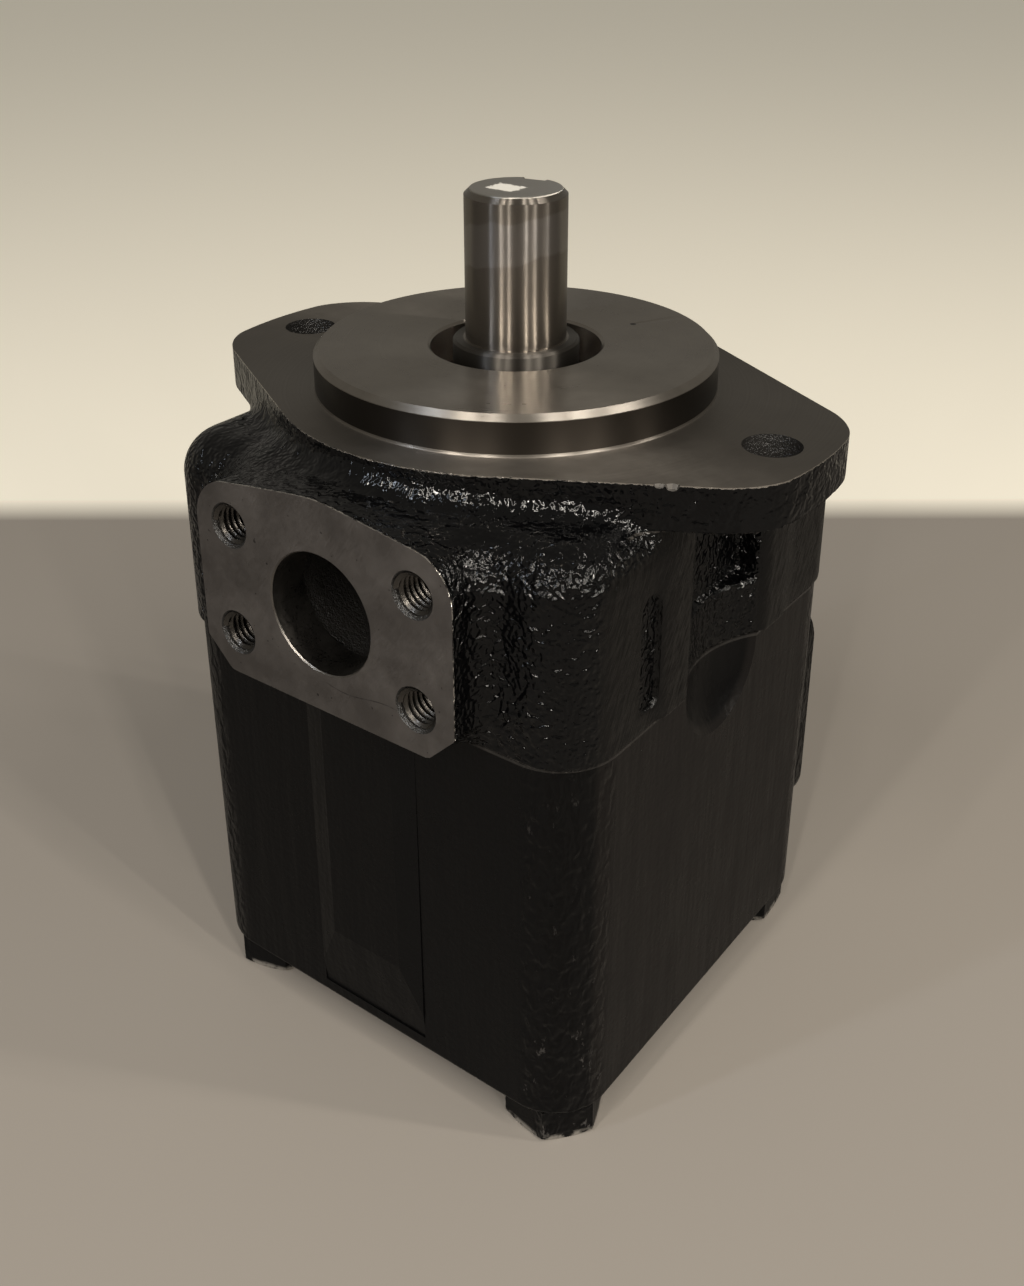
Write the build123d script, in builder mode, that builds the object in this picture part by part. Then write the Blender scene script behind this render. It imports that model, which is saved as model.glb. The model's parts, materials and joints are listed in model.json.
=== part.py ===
"""Balanced vane pump with a two-bolt mounting flange, keyed shaft and flanged oil ports.

The origin is the centre of the mounting face, on the shaft's axis. +Z runs out along the shaft,
+X along the line of the two mounting holes, and -Y out of the pressure port.
Everything is in millimetres. A depth is measured down from the mounting face.
"""

import os
from math import cos, pi, radians, sin, sqrt

from build123d import *

os.makedirs("parts", exist_ok=True)

# Mounting flange and spigot
pilot_radius = 63.5
pilot_height = 12.7
pilot_chamfer = 1.75
mouth_radius = 27.0
mouth_chamfer = 0.8
mounting_spacing = 181.0
mounting_hole_radius = 8.75
ear_margin = 16.4
flange_land = 12.0
flange_thickness = 14.3
flange_side_angle = 29.6
flange_corner_radius = 8.0

# Cartridge, which the two castings are made round
cartridge_radius = 60.0
front_plate_thickness = 15.0
plate_end_play = 0.3
ring_width = 45.0
rear_plate_thickness = 18.0
cam_wall = 12.0
cam_stroke = 7.0
cam_dwell = 36.0
rotor_gap = 0.5
rotor_side_clearance = 0.05
rotor_web = 7.4
vane_count = 10
vane_thickness = 3.2
vane_set_back = 1.5
vane_tip_chamfer = 0.8
vane_clearance = 0.05
slot_root_play = 0.3
slot_eye_radius = 2.6
kidney_inset = 3.9
kidney_width = 5.0
kidney_sweep = 40.0
hub_over_bearing = 2.0
hub_end_play = 2.0
hub_hollow_wall = 11.0
hub_hollow_depth = 14.0
plate_shaft_radius = 20.2
rear_hub_radius = 26.0
rear_hub_length = 22.0
bush_wall = 3.0
bush_clearance = 0.05
bush_length = 34.0
bush_inset = 1.0
register_clearance = 0.05

# Fixings and seals of the cartridge
fixing_inset = 8.5
fixing_offset = 10.7
dowel_radius = 3.0
dowel_bite = 5.0
dowel_clearance = 0.02
dowel_end_play = 0.5
dowel_chamfer = 0.5
screw_radius = 4.0
screw_clearance = 0.3
screw_head_radius = 6.5
screw_head_height = 8.0
screw_bite = 9.0
socket_radius = 3.4
socket_depth = 4.5
seal_ring_section = 3.0
seal_ring_squeeze = 2.4
seal_ring_play = 0.03
seal_ring_corner = 0.7
hub_seal_inset = 3.0
rim_seal_inset = 6.0

# Shaft
drive_radius = 15.875
drive_end = 61.5
drive_chamfer = 1.8
collar_radius = 19.9
collar_stand = 1.9
collar_chamfer = 0.8
bearing_seat_radius = 20.0
shoulder_ring_radius = 23.5
shoulder_ring_width = 5.0
spline_shank_radius = 19.5
spline_root_radius = 16.5
spline_tip_radius = 19.0
spline_tooth_width = 6.0
spline_count = 8
spline_clearance = 0.05
spline_relief = 2.0
spline_sink = 1.5
rear_journal_radius = 14.0
rear_journal_chamfer = 1.0
rear_journal_inset = 2.0
keyway_width = 7.94
keyway_depth = 4.0
keyway_length = 40.0
keyway_direction = 100.0

# Shaft seal, 40 x 62 x 10
seal_bore_radius = 31.0
seal_front = 2.0
seal_width = 10.0
seal_case_wall = 1.0
seal_case_inner_radius = 24.5
seal_shoulder_gap = 1.0
lip_tube_thickness = 1.6
lip_length = 6.5
lip_web = 1.8
lip_rise = 1.4
lip_clearance = 0.05
garter_section_radius = 0.9
garter_play = 0.05

# Drive-end ball bearing, 40 x 80 x 18
bearing_gap = 5.0
bearing_width = 18.0
bearing_outer_radius = 40.0
bearing_inner_land = 26.0
bearing_outer_land = 34.0
ball_radius = 5.95
ball_count = 9
race_clearance = 0.05
bearing_ring_edge = 1.1
ring_fit = 0.02
cage_thickness = 2.6
cage_half_width = 7.4
cage_pocket_clearance = 0.15

# Retaining rings
housing_ring_thickness = 2.5
housing_ring_depth = 1.7
housing_ring_height = 4.4
shaft_ring_thickness = 1.75
shaft_ring_depth = 1.2
shaft_ring_height = 3.6
ring_gap = 9.0
ring_side_play = 0.1
ring_root_play = 0.2

# Oil spaces of the front body, down to the joint with the housing
bearing_to_hub_bore = 5.0
hub_bore_length = 10.0
outlet_chamber_length = 15.0
outlet_chamber_ledge = 3.0
register_depth = 10.5
cut_overrun = 1.0

# Front body
cap_step = 0.2
cap_corner_radius = 17.0
shoulder_drop = 11.0
shoulder_radius = 14.0
cheek_half_width = 43.0
cheek_height = 22.0
cheek_depth = 16.0
neck_radius = 8.0
neck_sink = 1.0
neck_end_inset = 13.8
rear_cheek_half_width = 46.0

# Clearance beside each mounting hole: a square pocket for the nut, then a shallow scoop
pocket_half_width = 21.4
pocket_depth = 9.1
pocket_ledge_height = 20.0
scoop_radius = 37.6
scoop_depth = 7.3
scoop_overrun = 2.0

# Pressure port: the four-bolt pattern of a 1 1/2 inch split flange
pressure_rise = 13.2
pressure_depth = 43.3
pressure_bore_radius = 19.05
pressure_lip = 14.0
pressure_gallery_radius = 20.5
pressure_gallery_bite = 8.0
pressure_spacing_x = 69.9
pressure_spacing_z = 35.7
pressure_thread_radius = 6.35
pressure_thread_depth = 27.0
pressure_pad_half_width = 48.5
pressure_pad_apex = 6.5
pressure_pad_eaves = 13.5
pressure_pad_corner_radius = 12.0
pressure_pad_apex_radius = 20.0
pressure_pad_chamfer = 9.5
port_edge_chamfer = 0.4
thread_mouth_chamfer = 0.9

# Rear housing
oil_gap = 7.0
housing_wall = 12.6
housing_corner_radius = 20.0
housing_draft = 0.25
housing_edge_radius = 2.0
housing_floor = 17.4
housing_register_depth = 22.5
suction_room = 44.7
rib_width = 16.0
rib_overlap = 10.0
joint_seal_land = 4.25
joint_seal_width = 3.6
joint_seal_height = 2.7
panel_half_width = 22.0
panel_rise = 2.0
panel_slope = 8.0
panel_margin = 6.4
panel_run_out = 26.0

# Suction port: the four-bolt pattern of a 3 inch split flange
suction_rise = 15.4
suction_offset = 2.7
suction_bore_radius = 38.1
suction_lip = 27.6
suction_passage_radius = 40.5
suction_passage_bite = 17.0
suction_spacing_x = 106.4
suction_spacing_z = 61.9
suction_thread_radius = 8.0
suction_thread_depth = 20.0
suction_pad_half_width = 68.2
suction_pad_half_height = 47.0
suction_pad_corner_radius = 17.0
suction_pad_root = 9.6

# Housing bolts
bolt_inset = 18.2
bolt_radius = 9.5
bolt_thread_play = 0.05
bolt_hole_radius = 10.3
bolt_bite = 35.5
bolt_hole_runout = 4.0
bolt_head_across_flats = 28.6
bolt_head_height = 12.3
bolt_head_chamfer = 1.3
bolt_head_crown = 0.3
bolt_point_chamfer = 1.2
bolt_turns = (-9.0, 16.0, 47.0, -25.0)

# Depths, from the mounting face down to the pump's rear end
bearing_front = seal_front + seal_width + bearing_gap
bearing_middle = bearing_front + bearing_width / 2
bearing_back = bearing_front + bearing_width
hub_bore_start = bearing_back + bearing_to_hub_bore
hub_front = hub_bore_start + hub_end_play
hub_seal_depth = hub_front + hub_seal_inset
outlet_chamber_start = hub_bore_start + hub_bore_length
register_start = outlet_chamber_start + outlet_chamber_length
rim_seal_depth = register_start + rim_seal_inset
joint_depth = register_start + register_depth
ring_front = register_start + front_plate_thickness + plate_end_play
ring_back = ring_front + ring_width
plate_back = ring_back + rear_plate_thickness
front_bore_depth = joint_depth + housing_register_depth
housing_end = plate_back + suction_room + housing_floor
rear_journal_end = plate_back + rear_hub_length - rear_journal_inset
suction_depth = plate_back + suction_offset
pocket_bottom = joint_depth - pocket_ledge_height
scoop_bottom = joint_depth + scoop_overrun
panel_end = housing_end - panel_margin
bolt_reach = joint_depth - bolt_bite
collar_end = pilot_height + collar_stand

# Widths, from the cartridge out to the castings' faces
register_radius = cartridge_radius + register_clearance
outlet_chamber_radius = cartridge_radius - outlet_chamber_ledge
pressure_gallery_end = outlet_chamber_radius - pressure_gallery_bite
hub_radius = bearing_outer_radius + hub_over_bearing
hub_bore_radius = hub_radius + register_clearance
hub_hollow_radius = hub_radius - hub_hollow_wall
cavity_radius = cartridge_radius + oil_gap
rib_reach = cartridge_radius - rib_overlap
joint_seal_radius = register_radius + joint_seal_land + joint_seal_width / 2
housing_half = cavity_radius + housing_wall
cap_half = housing_half + cap_step
bolt_place = housing_half - bolt_inset
pocket_wall_x = cap_half - pocket_depth
scoop_centre_x = cap_half - scoop_depth + scoop_radius
neck_end_x = cap_half - neck_end_inset
pressure_face = cap_half + pressure_rise
suction_face = housing_half + suction_rise
suction_pad_foot = housing_half - suction_pad_root
suction_bore_end = cavity_radius - suction_passage_bite

# Inside the cartridge
cam_major_radius = cartridge_radius - cam_wall
cam_minor_radius = cam_major_radius - cam_stroke
kidney_radius = cam_minor_radius + kidney_inset
rotor_radius = cam_minor_radius - rotor_gap
vane_tip_radius = rotor_radius - vane_set_back
vane_root_radius = spline_tip_radius + rotor_web
ramp_sweep = 90 - cam_dwell
ball_pitch_radius = (bearing_inner_land + bearing_outer_land) / 2
spline_tooth_length = spline_tip_radius - spline_root_radius + spline_sink
fixing_place = (fixing_offset, sqrt((cartridge_radius - fixing_inset) ** 2 - fixing_offset**2))

# Flange outline: where the straight sides leave the waist and meet the round ends
flange_waist_radius = pilot_radius + flange_land
flange_end_radius = mounting_spacing / 2 + ear_margin
ear_tangent_x = flange_waist_radius * sin(radians(flange_side_angle))
ear_tangent_y = flange_waist_radius * cos(radians(flange_side_angle))
ear_run = sqrt(flange_end_radius**2 - flange_waist_radius**2)
ear_corner_x = ear_tangent_x + ear_run * cos(radians(flange_side_angle))
ear_corner_y = ear_tangent_y - ear_run * sin(radians(flange_side_angle))


def polar(radius, angle):
    """A point of a plan view, from its radius and its angle in degrees."""
    return (radius * cos(radians(angle)), radius * sin(radians(angle)))


def flange_outline():
    """Two-bolt flange: a round waist, straight sides tangent to it, and round ends."""
    tangent = (ear_tangent_x, ear_tangent_y)
    corner = (ear_corner_x, ear_corner_y)
    with BuildLine() as outline:
        ThreePointArc((-tangent[0], -tangent[1]), (0, -flange_waist_radius), (tangent[0], -tangent[1]))
        Line((tangent[0], -tangent[1]), (corner[0], -corner[1]))
        ThreePointArc((corner[0], -corner[1]), (flange_end_radius, 0), corner)
        Line(corner, tangent)
        ThreePointArc(tangent, (0, flange_waist_radius), (-tangent[0], tangent[1]))
        Line((-tangent[0], tangent[1]), (-corner[0], corner[1]))
        ThreePointArc((-corner[0], corner[1]), (-flange_end_radius, 0), (-corner[0], -corner[1]))
        Line((-corner[0], -corner[1]), (-tangent[0], -tangent[1]))
    return outline.line


def cam_outline():
    """Two-lobed contour: dwell arcs at both radii, joined by cycloidal ramps."""
    half = cam_dwell / 2
    rise = cam_major_radius - cam_minor_radius

    def ramp(start, sense):
        points = []
        for step in range(1, 6):
            u = step / 6
            drop = rise * (u - sin(2 * pi * u) / (2 * pi))
            radius = cam_major_radius - drop if sense > 0 else cam_minor_radius + drop
            points.append(polar(radius, start + ramp_sweep * u))
        return points

    with BuildLine() as outline:
        for turn in (0, 180):
            CenterArc((0, 0), cam_major_radius, turn - half, cam_dwell)
            low = turn + half
            ends = (polar(cam_major_radius, low), polar(cam_minor_radius, low + ramp_sweep))
            Spline(
                ends[0],
                *ramp(low, 1),
                ends[1],
                tangents=(polar(1, low + 90), polar(1, low + ramp_sweep + 90)),
            )
            CenterArc((0, 0), cam_minor_radius, turn + 90 - half, cam_dwell)
            high = turn + 90 + half
            ends = (polar(cam_minor_radius, high), polar(cam_major_radius, high + ramp_sweep))
            Spline(
                ends[0],
                *ramp(high, -1),
                ends[1],
                tangents=(polar(1, high + 90), polar(1, high + ramp_sweep + 90)),
            )
    return outline.line


def section(points):
    """A closed half section for the sketch at hand, from (radius, height) points."""
    with BuildLine() as outline:
        Polyline(*points, close=True)
    return outline.line


def kidneys(*centres):
    """Arc-shaped ports in the sketch at hand, centred on the given angles."""
    for centre in centres:
        start = centre - kidney_sweep / 2
        middle_line = CenterArc((0, 0), kidney_radius, start, kidney_sweep, mode=Mode.PRIVATE)
        SlotArc(middle_line, kidney_width)


def fixings(sense):
    """Plan positions of the two dowels (sense 1) or of the two cartridge screws (sense -1)."""
    x, y = fixing_place
    return [(-sense * x, y), (sense * x, -y)]


bolt_places = [(sx * bolt_place, sy * bolt_place) for sx, sy in ((1, -1), (-1, -1), (-1, 1), (1, 1))]

# Front body, with its flange, spigot, bolt shoulders and pressure port
with BuildPart() as front_cap:
    with BuildSketch(Plane.XY.offset(-joint_depth)):
        RectangleRounded(2 * cap_half, 2 * cap_half, cap_corner_radius)
    extrude(amount=joint_depth - shoulder_drop)
    fillet(front_cap.faces().sort_by(Axis.Z)[-1].edges(), shoulder_radius)
    # The cheeks carry the flat sides up to the flange.
    with BuildSketch(Plane.XY.offset(-flange_thickness)):
        with Locations((cap_half - cheek_depth / 2, 0), (-cap_half + cheek_depth / 2, 0)):
            Rectangle(cheek_depth, 2 * cheek_half_width)
    extrude(amount=-cheek_height)
    with BuildSketch(Plane.XY):
        make_face(flange_outline())
        fillet([v for v in vertices() if abs(v.X) > ear_tangent_x + 1], flange_corner_radius)
    extrude(amount=-flange_thickness)
    # The neck runs out of the flange's rim onto the shoulders in a hollow curve.
    for side in (1, -1):
        run = (neck_end_x - ear_tangent_x) / cos(radians(flange_side_angle))
        near = (ear_tangent_x, side * ear_tangent_y)
        far = (neck_end_x, side * (ear_tangent_y - run * sin(radians(flange_side_angle))))
        with BuildLine() as neck_path:
            Line((-far[0], far[1]), (-near[0], near[1]))
            ThreePointArc((-near[0], near[1]), (0, side * flange_waist_radius), near)
            Line(near, far)
        outward = Vector(-sin(radians(flange_side_angle)), side * cos(radians(flange_side_angle)), 0)
        neck_plane = Plane(
            origin=(-far[0], far[1], -shoulder_drop),
            x_dir=outward,
            z_dir=outward.cross(Vector(0, 0, 1)),
        )
        with BuildSketch(neck_plane):
            with BuildLine():
                Polyline(
                    (0, neck_radius),
                    (-neck_sink, neck_radius),
                    (-neck_sink, -neck_sink),
                    (neck_radius, -neck_sink),
                    (neck_radius, 0),
                )
                ThreePointArc(
                    (neck_radius, 0),
                    (neck_radius * (1 - sqrt(0.5)), neck_radius * (1 - sqrt(0.5))),
                    (0, neck_radius),
                )
            make_face()
        sweep(path=neck_path.line)
    # The side away from the pressure port stays flat up to the neck.
    with BuildSketch(Plane.XY.offset(-shoulder_drop)):
        with Locations((0, cap_half - cheek_depth / 2)):
            Rectangle(2 * rear_cheek_half_width, cheek_depth)
    extrude(amount=-cheek_height)
    with BuildSketch(Plane.XZ.offset(-cap_half)):
        with Locations((0, -flange_thickness / 2)):
            Rectangle(4 * cap_half, flange_thickness)
    extrude(amount=-2 * neck_radius, mode=Mode.SUBTRACT)
    # Pressure port: a gabled boss whose foot flows into the front.
    with BuildSketch(Plane.XZ.offset(pressure_face)):
        with BuildLine():
            w = pressure_pad_half_width
            c = pressure_pad_chamfer
            Polyline(
                (-w + c, -joint_depth),
                (w - c, -joint_depth),
                (w, -joint_depth + c),
                (w, -pressure_pad_eaves),
                (0, -pressure_pad_apex),
                (-w, -pressure_pad_eaves),
                (-w, -joint_depth + c),
                close=True,
            )
        make_face()
        fillet(vertices().group_by(Axis.Y)[-2], pressure_pad_corner_radius)
        fillet(vertices().sort_by(Axis.Y)[-1], pressure_pad_apex_radius)
    extrude(amount=-(pressure_face - flange_waist_radius + neck_radius))
    # Spigot
    with BuildSketch(Plane.XY):
        Circle(pilot_radius)
    extrude(amount=pilot_height)
    chamfer(front_cap.faces().sort_by(Axis.Z)[-1].edges(), pilot_chamfer)
    # Mounting holes
    with BuildSketch(Plane.XY):
        with Locations((mounting_spacing / 2, 0), (-mounting_spacing / 2, 0)):
            Circle(mounting_hole_radius)
    extrude(amount=-flange_thickness - cut_overrun, mode=Mode.SUBTRACT)
    # Clearance pockets beside the mounting holes
    for side in (1, -1):
        with BuildSketch(Plane.XY.offset(-flange_thickness)):
            with Locations((side * (pocket_wall_x + cap_half) / 2, 0)):
                Rectangle(cap_half - pocket_wall_x, 2 * pocket_half_width)
        extrude(amount=-(pocket_bottom - flange_thickness), mode=Mode.SUBTRACT)
        with BuildSketch(Plane.XY.offset(-flange_thickness)):
            with Locations((side * scoop_centre_x, 0)):
                Circle(scoop_radius)
        extrude(amount=-(joint_depth - flange_thickness), mode=Mode.SUBTRACT)
    # Shaft seal, bearing, outlet chamber and cartridge register, turned from both ends
    with BuildSketch(Plane.XZ):
        groove_start = bearing_back + ring_side_play
        groove_end = groove_start + housing_ring_thickness + ring_side_play
        make_face(
            section(
                (
                    (0, pilot_height + cut_overrun),
                    (mouth_radius + mouth_chamfer, pilot_height + cut_overrun),
                    (mouth_radius + mouth_chamfer, pilot_height),
                    (mouth_radius, pilot_height - mouth_chamfer),
                    (mouth_radius, -seal_front),
                    (seal_bore_radius, -seal_front),
                    (seal_bore_radius, -bearing_front),
                    (bearing_outer_radius, -bearing_front),
                    (bearing_outer_radius, -groove_start),
                    (bearing_outer_radius + housing_ring_depth, -groove_start),
                    (bearing_outer_radius + housing_ring_depth, -groove_end),
                    (bearing_outer_radius, -groove_end),
                    (bearing_outer_radius, -hub_bore_start),
                    (hub_bore_radius, -hub_bore_start),
                    (hub_bore_radius, -outlet_chamber_start),
                    (outlet_chamber_radius, -outlet_chamber_start),
                    (outlet_chamber_radius, -register_start),
                    (register_radius, -register_start),
                    (register_radius, -joint_depth - cut_overrun),
                    (0, -joint_depth - cut_overrun),
                )
            )
        )
    revolve(axis=Axis.Z, mode=Mode.SUBTRACT)
    # Pressure port bore: a turned lip, then the cast gallery down to the chamber
    with BuildSketch(Plane.XZ.offset(pressure_face)):
        with Locations((0, -pressure_depth)):
            Circle(pressure_bore_radius)
    extrude(amount=-pressure_lip, mode=Mode.SUBTRACT)
    with BuildSketch(Plane.XZ.offset(pressure_face - pressure_lip)):
        with Locations((0, -pressure_depth)):
            Circle(pressure_gallery_radius)
    extrude(amount=-(pressure_face - pressure_lip - pressure_gallery_end), mode=Mode.SUBTRACT)
    with BuildSketch(Plane.XZ.offset(pressure_face)):
        with Locations((0, -pressure_depth)):
            with GridLocations(pressure_spacing_x, pressure_spacing_z, 2, 2):
                Circle(pressure_thread_radius)
    extrude(amount=-pressure_thread_depth, mode=Mode.SUBTRACT)
    face_circles = front_cap.faces().sort_by(Axis.Y)[0].edges().filter_by(GeomType.CIRCLE)
    chamfer([e for e in face_circles if abs(e.radius - pressure_bore_radius) < 0.01], port_edge_chamfer)
    chamfer([e for e in face_circles if abs(e.radius - pressure_thread_radius) < 0.01], thread_mouth_chamfer)
    # Threaded holes for the housing bolts
    with BuildSketch(Plane.XY.offset(-joint_depth)):
        with Locations(*bolt_places):
            Circle(bolt_radius + bolt_thread_play)
    extrude(amount=joint_depth - bolt_reach + bolt_hole_runout, mode=Mode.SUBTRACT)
front_cap.part.label = "front_cap"
export_step(front_cap.part, "parts/front_cap.step")


# Rear housing, with its suction port and the room for the cartridge
with BuildPart() as rear_housing:
    with BuildSketch(Plane.XY.offset(-joint_depth)):
        RectangleRounded(2 * housing_half, 2 * housing_half, housing_corner_radius)
    extrude(amount=-(housing_end - joint_depth), taper=housing_draft)
    fillet(rear_housing.faces().sort_by(Axis.Z)[0].edges(), housing_edge_radius)
    # Raised panel down the front, running out above the rear end
    with BuildSketch(Plane.XY.offset(-joint_depth)):
        with BuildLine():
            Polyline(
                (-panel_half_width, -housing_half + panel_rise),
                (-panel_half_width, -housing_half),
                (-panel_half_width + panel_slope, -housing_half - panel_rise),
                (panel_half_width - panel_slope, -housing_half - panel_rise),
                (panel_half_width, -housing_half),
                (panel_half_width, -housing_half + panel_rise),
                close=True,
            )
        make_face()
    extrude(amount=-(panel_end - joint_depth))
    with BuildSketch(Plane.YZ.offset(-panel_half_width)):
        with BuildLine():
            Polyline(
                (-housing_half - 2 * panel_rise, -panel_end - cut_overrun),
                (-housing_half + panel_rise / 2, -panel_end - cut_overrun),
                (-housing_half + panel_rise / 2, -panel_end),
                (-housing_half - panel_rise, -panel_end + panel_run_out),
                (-housing_half - 2 * panel_rise, -panel_end + panel_run_out),
                close=True,
            )
        make_face()
    extrude(amount=2 * panel_half_width, mode=Mode.SUBTRACT)
    # Suction port pad
    with BuildSketch(Plane.XZ.offset(-suction_face)):
        with Locations((0, -suction_depth)):
            RectangleRounded(
                2 * suction_pad_half_width,
                2 * suction_pad_half_height,
                suction_pad_corner_radius,
            )
    extrude(amount=suction_face - suction_pad_foot)
    # Register for the cam ring, then the wide suction chamber with four ribs under the rear plate
    with BuildSketch(Plane.XY.offset(-joint_depth)):
        Circle(register_radius)
    extrude(amount=-(front_bore_depth - joint_depth), mode=Mode.SUBTRACT)
    with BuildSketch(Plane.XY.offset(-front_bore_depth)):
        Circle(cavity_radius)
    extrude(amount=-(plate_back - front_bore_depth), mode=Mode.SUBTRACT)
    with BuildSketch(Plane.XY.offset(-plate_back)):
        Circle(cavity_radius)
        with PolarLocations(rib_reach + cavity_radius / 2, 4, start_angle=45):
            Rectangle(cavity_radius, rib_width, mode=Mode.SUBTRACT)
    extrude(amount=-(housing_end - housing_floor - plate_back), mode=Mode.SUBTRACT)
    # Groove for the joint seal
    with BuildSketch(Plane.XY.offset(-joint_depth)):
        Circle(joint_seal_radius + joint_seal_width / 2)
        Circle(joint_seal_radius - joint_seal_width / 2, mode=Mode.SUBTRACT)
    extrude(amount=-joint_seal_height, mode=Mode.SUBTRACT)
    # The scoops of the front body run out into the sides.
    for side in (1, -1):
        with BuildSketch(Plane.XY.offset(-joint_depth)):
            with Locations((side * scoop_centre_x, 0)):
                Circle(scoop_radius)
        extrude(amount=-(scoop_bottom - joint_depth), mode=Mode.SUBTRACT)
        with Locations((side * scoop_centre_x, 0, -scoop_bottom)):
            Sphere(scoop_radius, mode=Mode.SUBTRACT)
    # Suction bore: a turned lip, then the wider cast passage, and the threaded holes round it
    with BuildSketch(Plane.XZ.offset(-suction_face)):
        with Locations((0, -suction_depth)):
            Circle(suction_bore_radius)
    extrude(amount=suction_lip, mode=Mode.SUBTRACT)
    with BuildSketch(Plane.XZ.offset(suction_lip - suction_face)):
        with Locations((0, -suction_depth)):
            Circle(suction_passage_radius)
    extrude(amount=suction_face - suction_lip - suction_bore_end, mode=Mode.SUBTRACT)
    with BuildSketch(Plane.XZ.offset(-suction_face)):
        with Locations((0, -suction_depth)):
            with GridLocations(suction_spacing_x, suction_spacing_z, 2, 2):
                Circle(suction_thread_radius)
    extrude(amount=suction_thread_depth, mode=Mode.SUBTRACT)
    face_circles = rear_housing.faces().sort_by(Axis.Y)[-1].edges().filter_by(GeomType.CIRCLE)
    chamfer([e for e in face_circles if abs(e.radius - suction_bore_radius) < 0.01], port_edge_chamfer)
    chamfer([e for e in face_circles if abs(e.radius - suction_thread_radius) < 0.01], thread_mouth_chamfer)
    # Clearance holes of the housing bolts
    with BuildSketch(Plane.XY.offset(-joint_depth)):
        with Locations(*bolt_places):
            Circle(bolt_hole_radius)
    extrude(amount=-(housing_end - joint_depth), mode=Mode.SUBTRACT)
rear_housing.part.label = "rear_housing"
export_step(rear_housing.part, "parts/rear_housing.step")

# Housing bolts: the pump stands on their heads
for number, (place, turn) in enumerate(zip(bolt_places, bolt_turns), 1):
    foot = (*place, -housing_end - bolt_head_height)
    with BuildPart() as housing_bolt:
        with BuildSketch(Plane(origin=foot, x_dir=(*polar(1, turn), 0), z_dir=(0, 0, 1))):
            RegularPolygon(radius=bolt_head_across_flats / 2, side_count=6, major_radius=False)
        extrude(amount=bolt_head_height)
        with BuildSketch(Plane(origin=foot, x_dir=(1, 0, 0), z_dir=(0, -1, 0))):
            with BuildLine():
                Polyline(
                    (0, 0),
                    (bolt_head_across_flats / 2 - bolt_head_crown, 0),
                    (bolt_head_across_flats / sqrt(3), bolt_head_chamfer),
                    (bolt_head_across_flats / sqrt(3), bolt_head_height),
                    (0, bolt_head_height),
                    close=True,
                )
            make_face()
        revolve(axis=Axis(foot, (0, 0, 1)), mode=Mode.INTERSECT)
        with BuildSketch(Plane.XY.offset(-housing_end)):
            with Locations(place):
                Circle(bolt_radius)
        extrude(amount=housing_end - bolt_reach)
        chamfer(housing_bolt.faces().sort_by(Axis.Z)[-1].edges(), bolt_point_chamfer)
    housing_bolt.part.label = f"housing_bolt_{number}"
    export_step(housing_bolt.part, f"parts/housing_bolt_{number}.step")

# Shaft, from the keyed drive end back to the plain rear journal. It is turned from the keyway's
# side, so that its round faces start and end at the keyway.
x, y = polar(1, keyway_direction)
turning_plane = Plane(origin=(0, 0, 0), x_dir=(x, y, 0), z_dir=(y, -x, 0))
shaft_ring_back = bearing_front - shaft_ring_thickness - ring_side_play
shaft_ring_root = bearing_seat_radius - shaft_ring_depth
with BuildPart() as shaft:
    with BuildSketch(turning_plane):
        make_face(
            section(
                (
                    (0, drive_end),
                    (drive_radius - drive_chamfer, drive_end),
                    (drive_radius, drive_end - drive_chamfer),
                    (drive_radius, collar_end),
                    (collar_radius - collar_chamfer, collar_end),
                    (collar_radius, collar_end - collar_chamfer),
                    (collar_radius, -seal_front - seal_width - seal_shoulder_gap),
                    (bearing_seat_radius, -seal_front - seal_width - seal_shoulder_gap),
                    (bearing_seat_radius, -shaft_ring_back),
                    (shaft_ring_root, -shaft_ring_back),
                    (shaft_ring_root, -bearing_front),
                    (bearing_seat_radius, -bearing_front),
                    (bearing_seat_radius, -bearing_back),
                    (shoulder_ring_radius, -bearing_back),
                    (shoulder_ring_radius, -bearing_back - shoulder_ring_width),
                    (spline_shank_radius, -bearing_back - shoulder_ring_width),
                    (spline_shank_radius, -ring_front + spline_relief),
                    (spline_root_radius, -ring_front + spline_relief),
                    (spline_root_radius, -ring_back),
                    (rear_journal_radius, -ring_back),
                    (rear_journal_radius, -rear_journal_end + rear_journal_chamfer),
                    (rear_journal_radius - rear_journal_chamfer, -rear_journal_end),
                    (0, -rear_journal_end),
                )
            )
        )
    revolve(axis=Axis.Z)
    with BuildSketch(Plane.XY.offset(-ring_back)):
        with PolarLocations(spline_tip_radius - spline_tooth_length / 2, spline_count):
            Rectangle(spline_tooth_length, spline_tooth_width)
    extrude(amount=ring_width - spline_relief)
    # Keyway, open at the drive end and run out at its inner end
    with BuildSketch(Plane.XY.offset(drive_end - keyway_length)):
        with Locations(polar(drive_radius, keyway_direction)):
            Rectangle(2 * keyway_depth, keyway_width, rotation=keyway_direction)
    extrude(amount=keyway_length, mode=Mode.SUBTRACT)
shaft.part.label = "shaft"
export_step(shaft.part, "parts/shaft.step")


# Shaft seal: a pressed case, the bonded lip and its garter spring
seal_back = seal_front + seal_width
lip_radius = collar_radius + lip_clearance
with BuildPart() as seal_case:
    with BuildSketch(Plane.XZ):
        make_face(
            section(
                (
                    (seal_bore_radius, -seal_front),
                    (seal_case_inner_radius, -seal_front),
                    (seal_case_inner_radius, -seal_front - seal_case_wall),
                    (seal_bore_radius - seal_case_wall, -seal_front - seal_case_wall),
                    (seal_bore_radius - seal_case_wall, -seal_back),
                    (seal_bore_radius, -seal_back),
                )
            )
        )
    revolve(axis=Axis.Z)
seal_case.part.label = "seal_case"
export_step(seal_case.part, "parts/seal_case.step")

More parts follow.
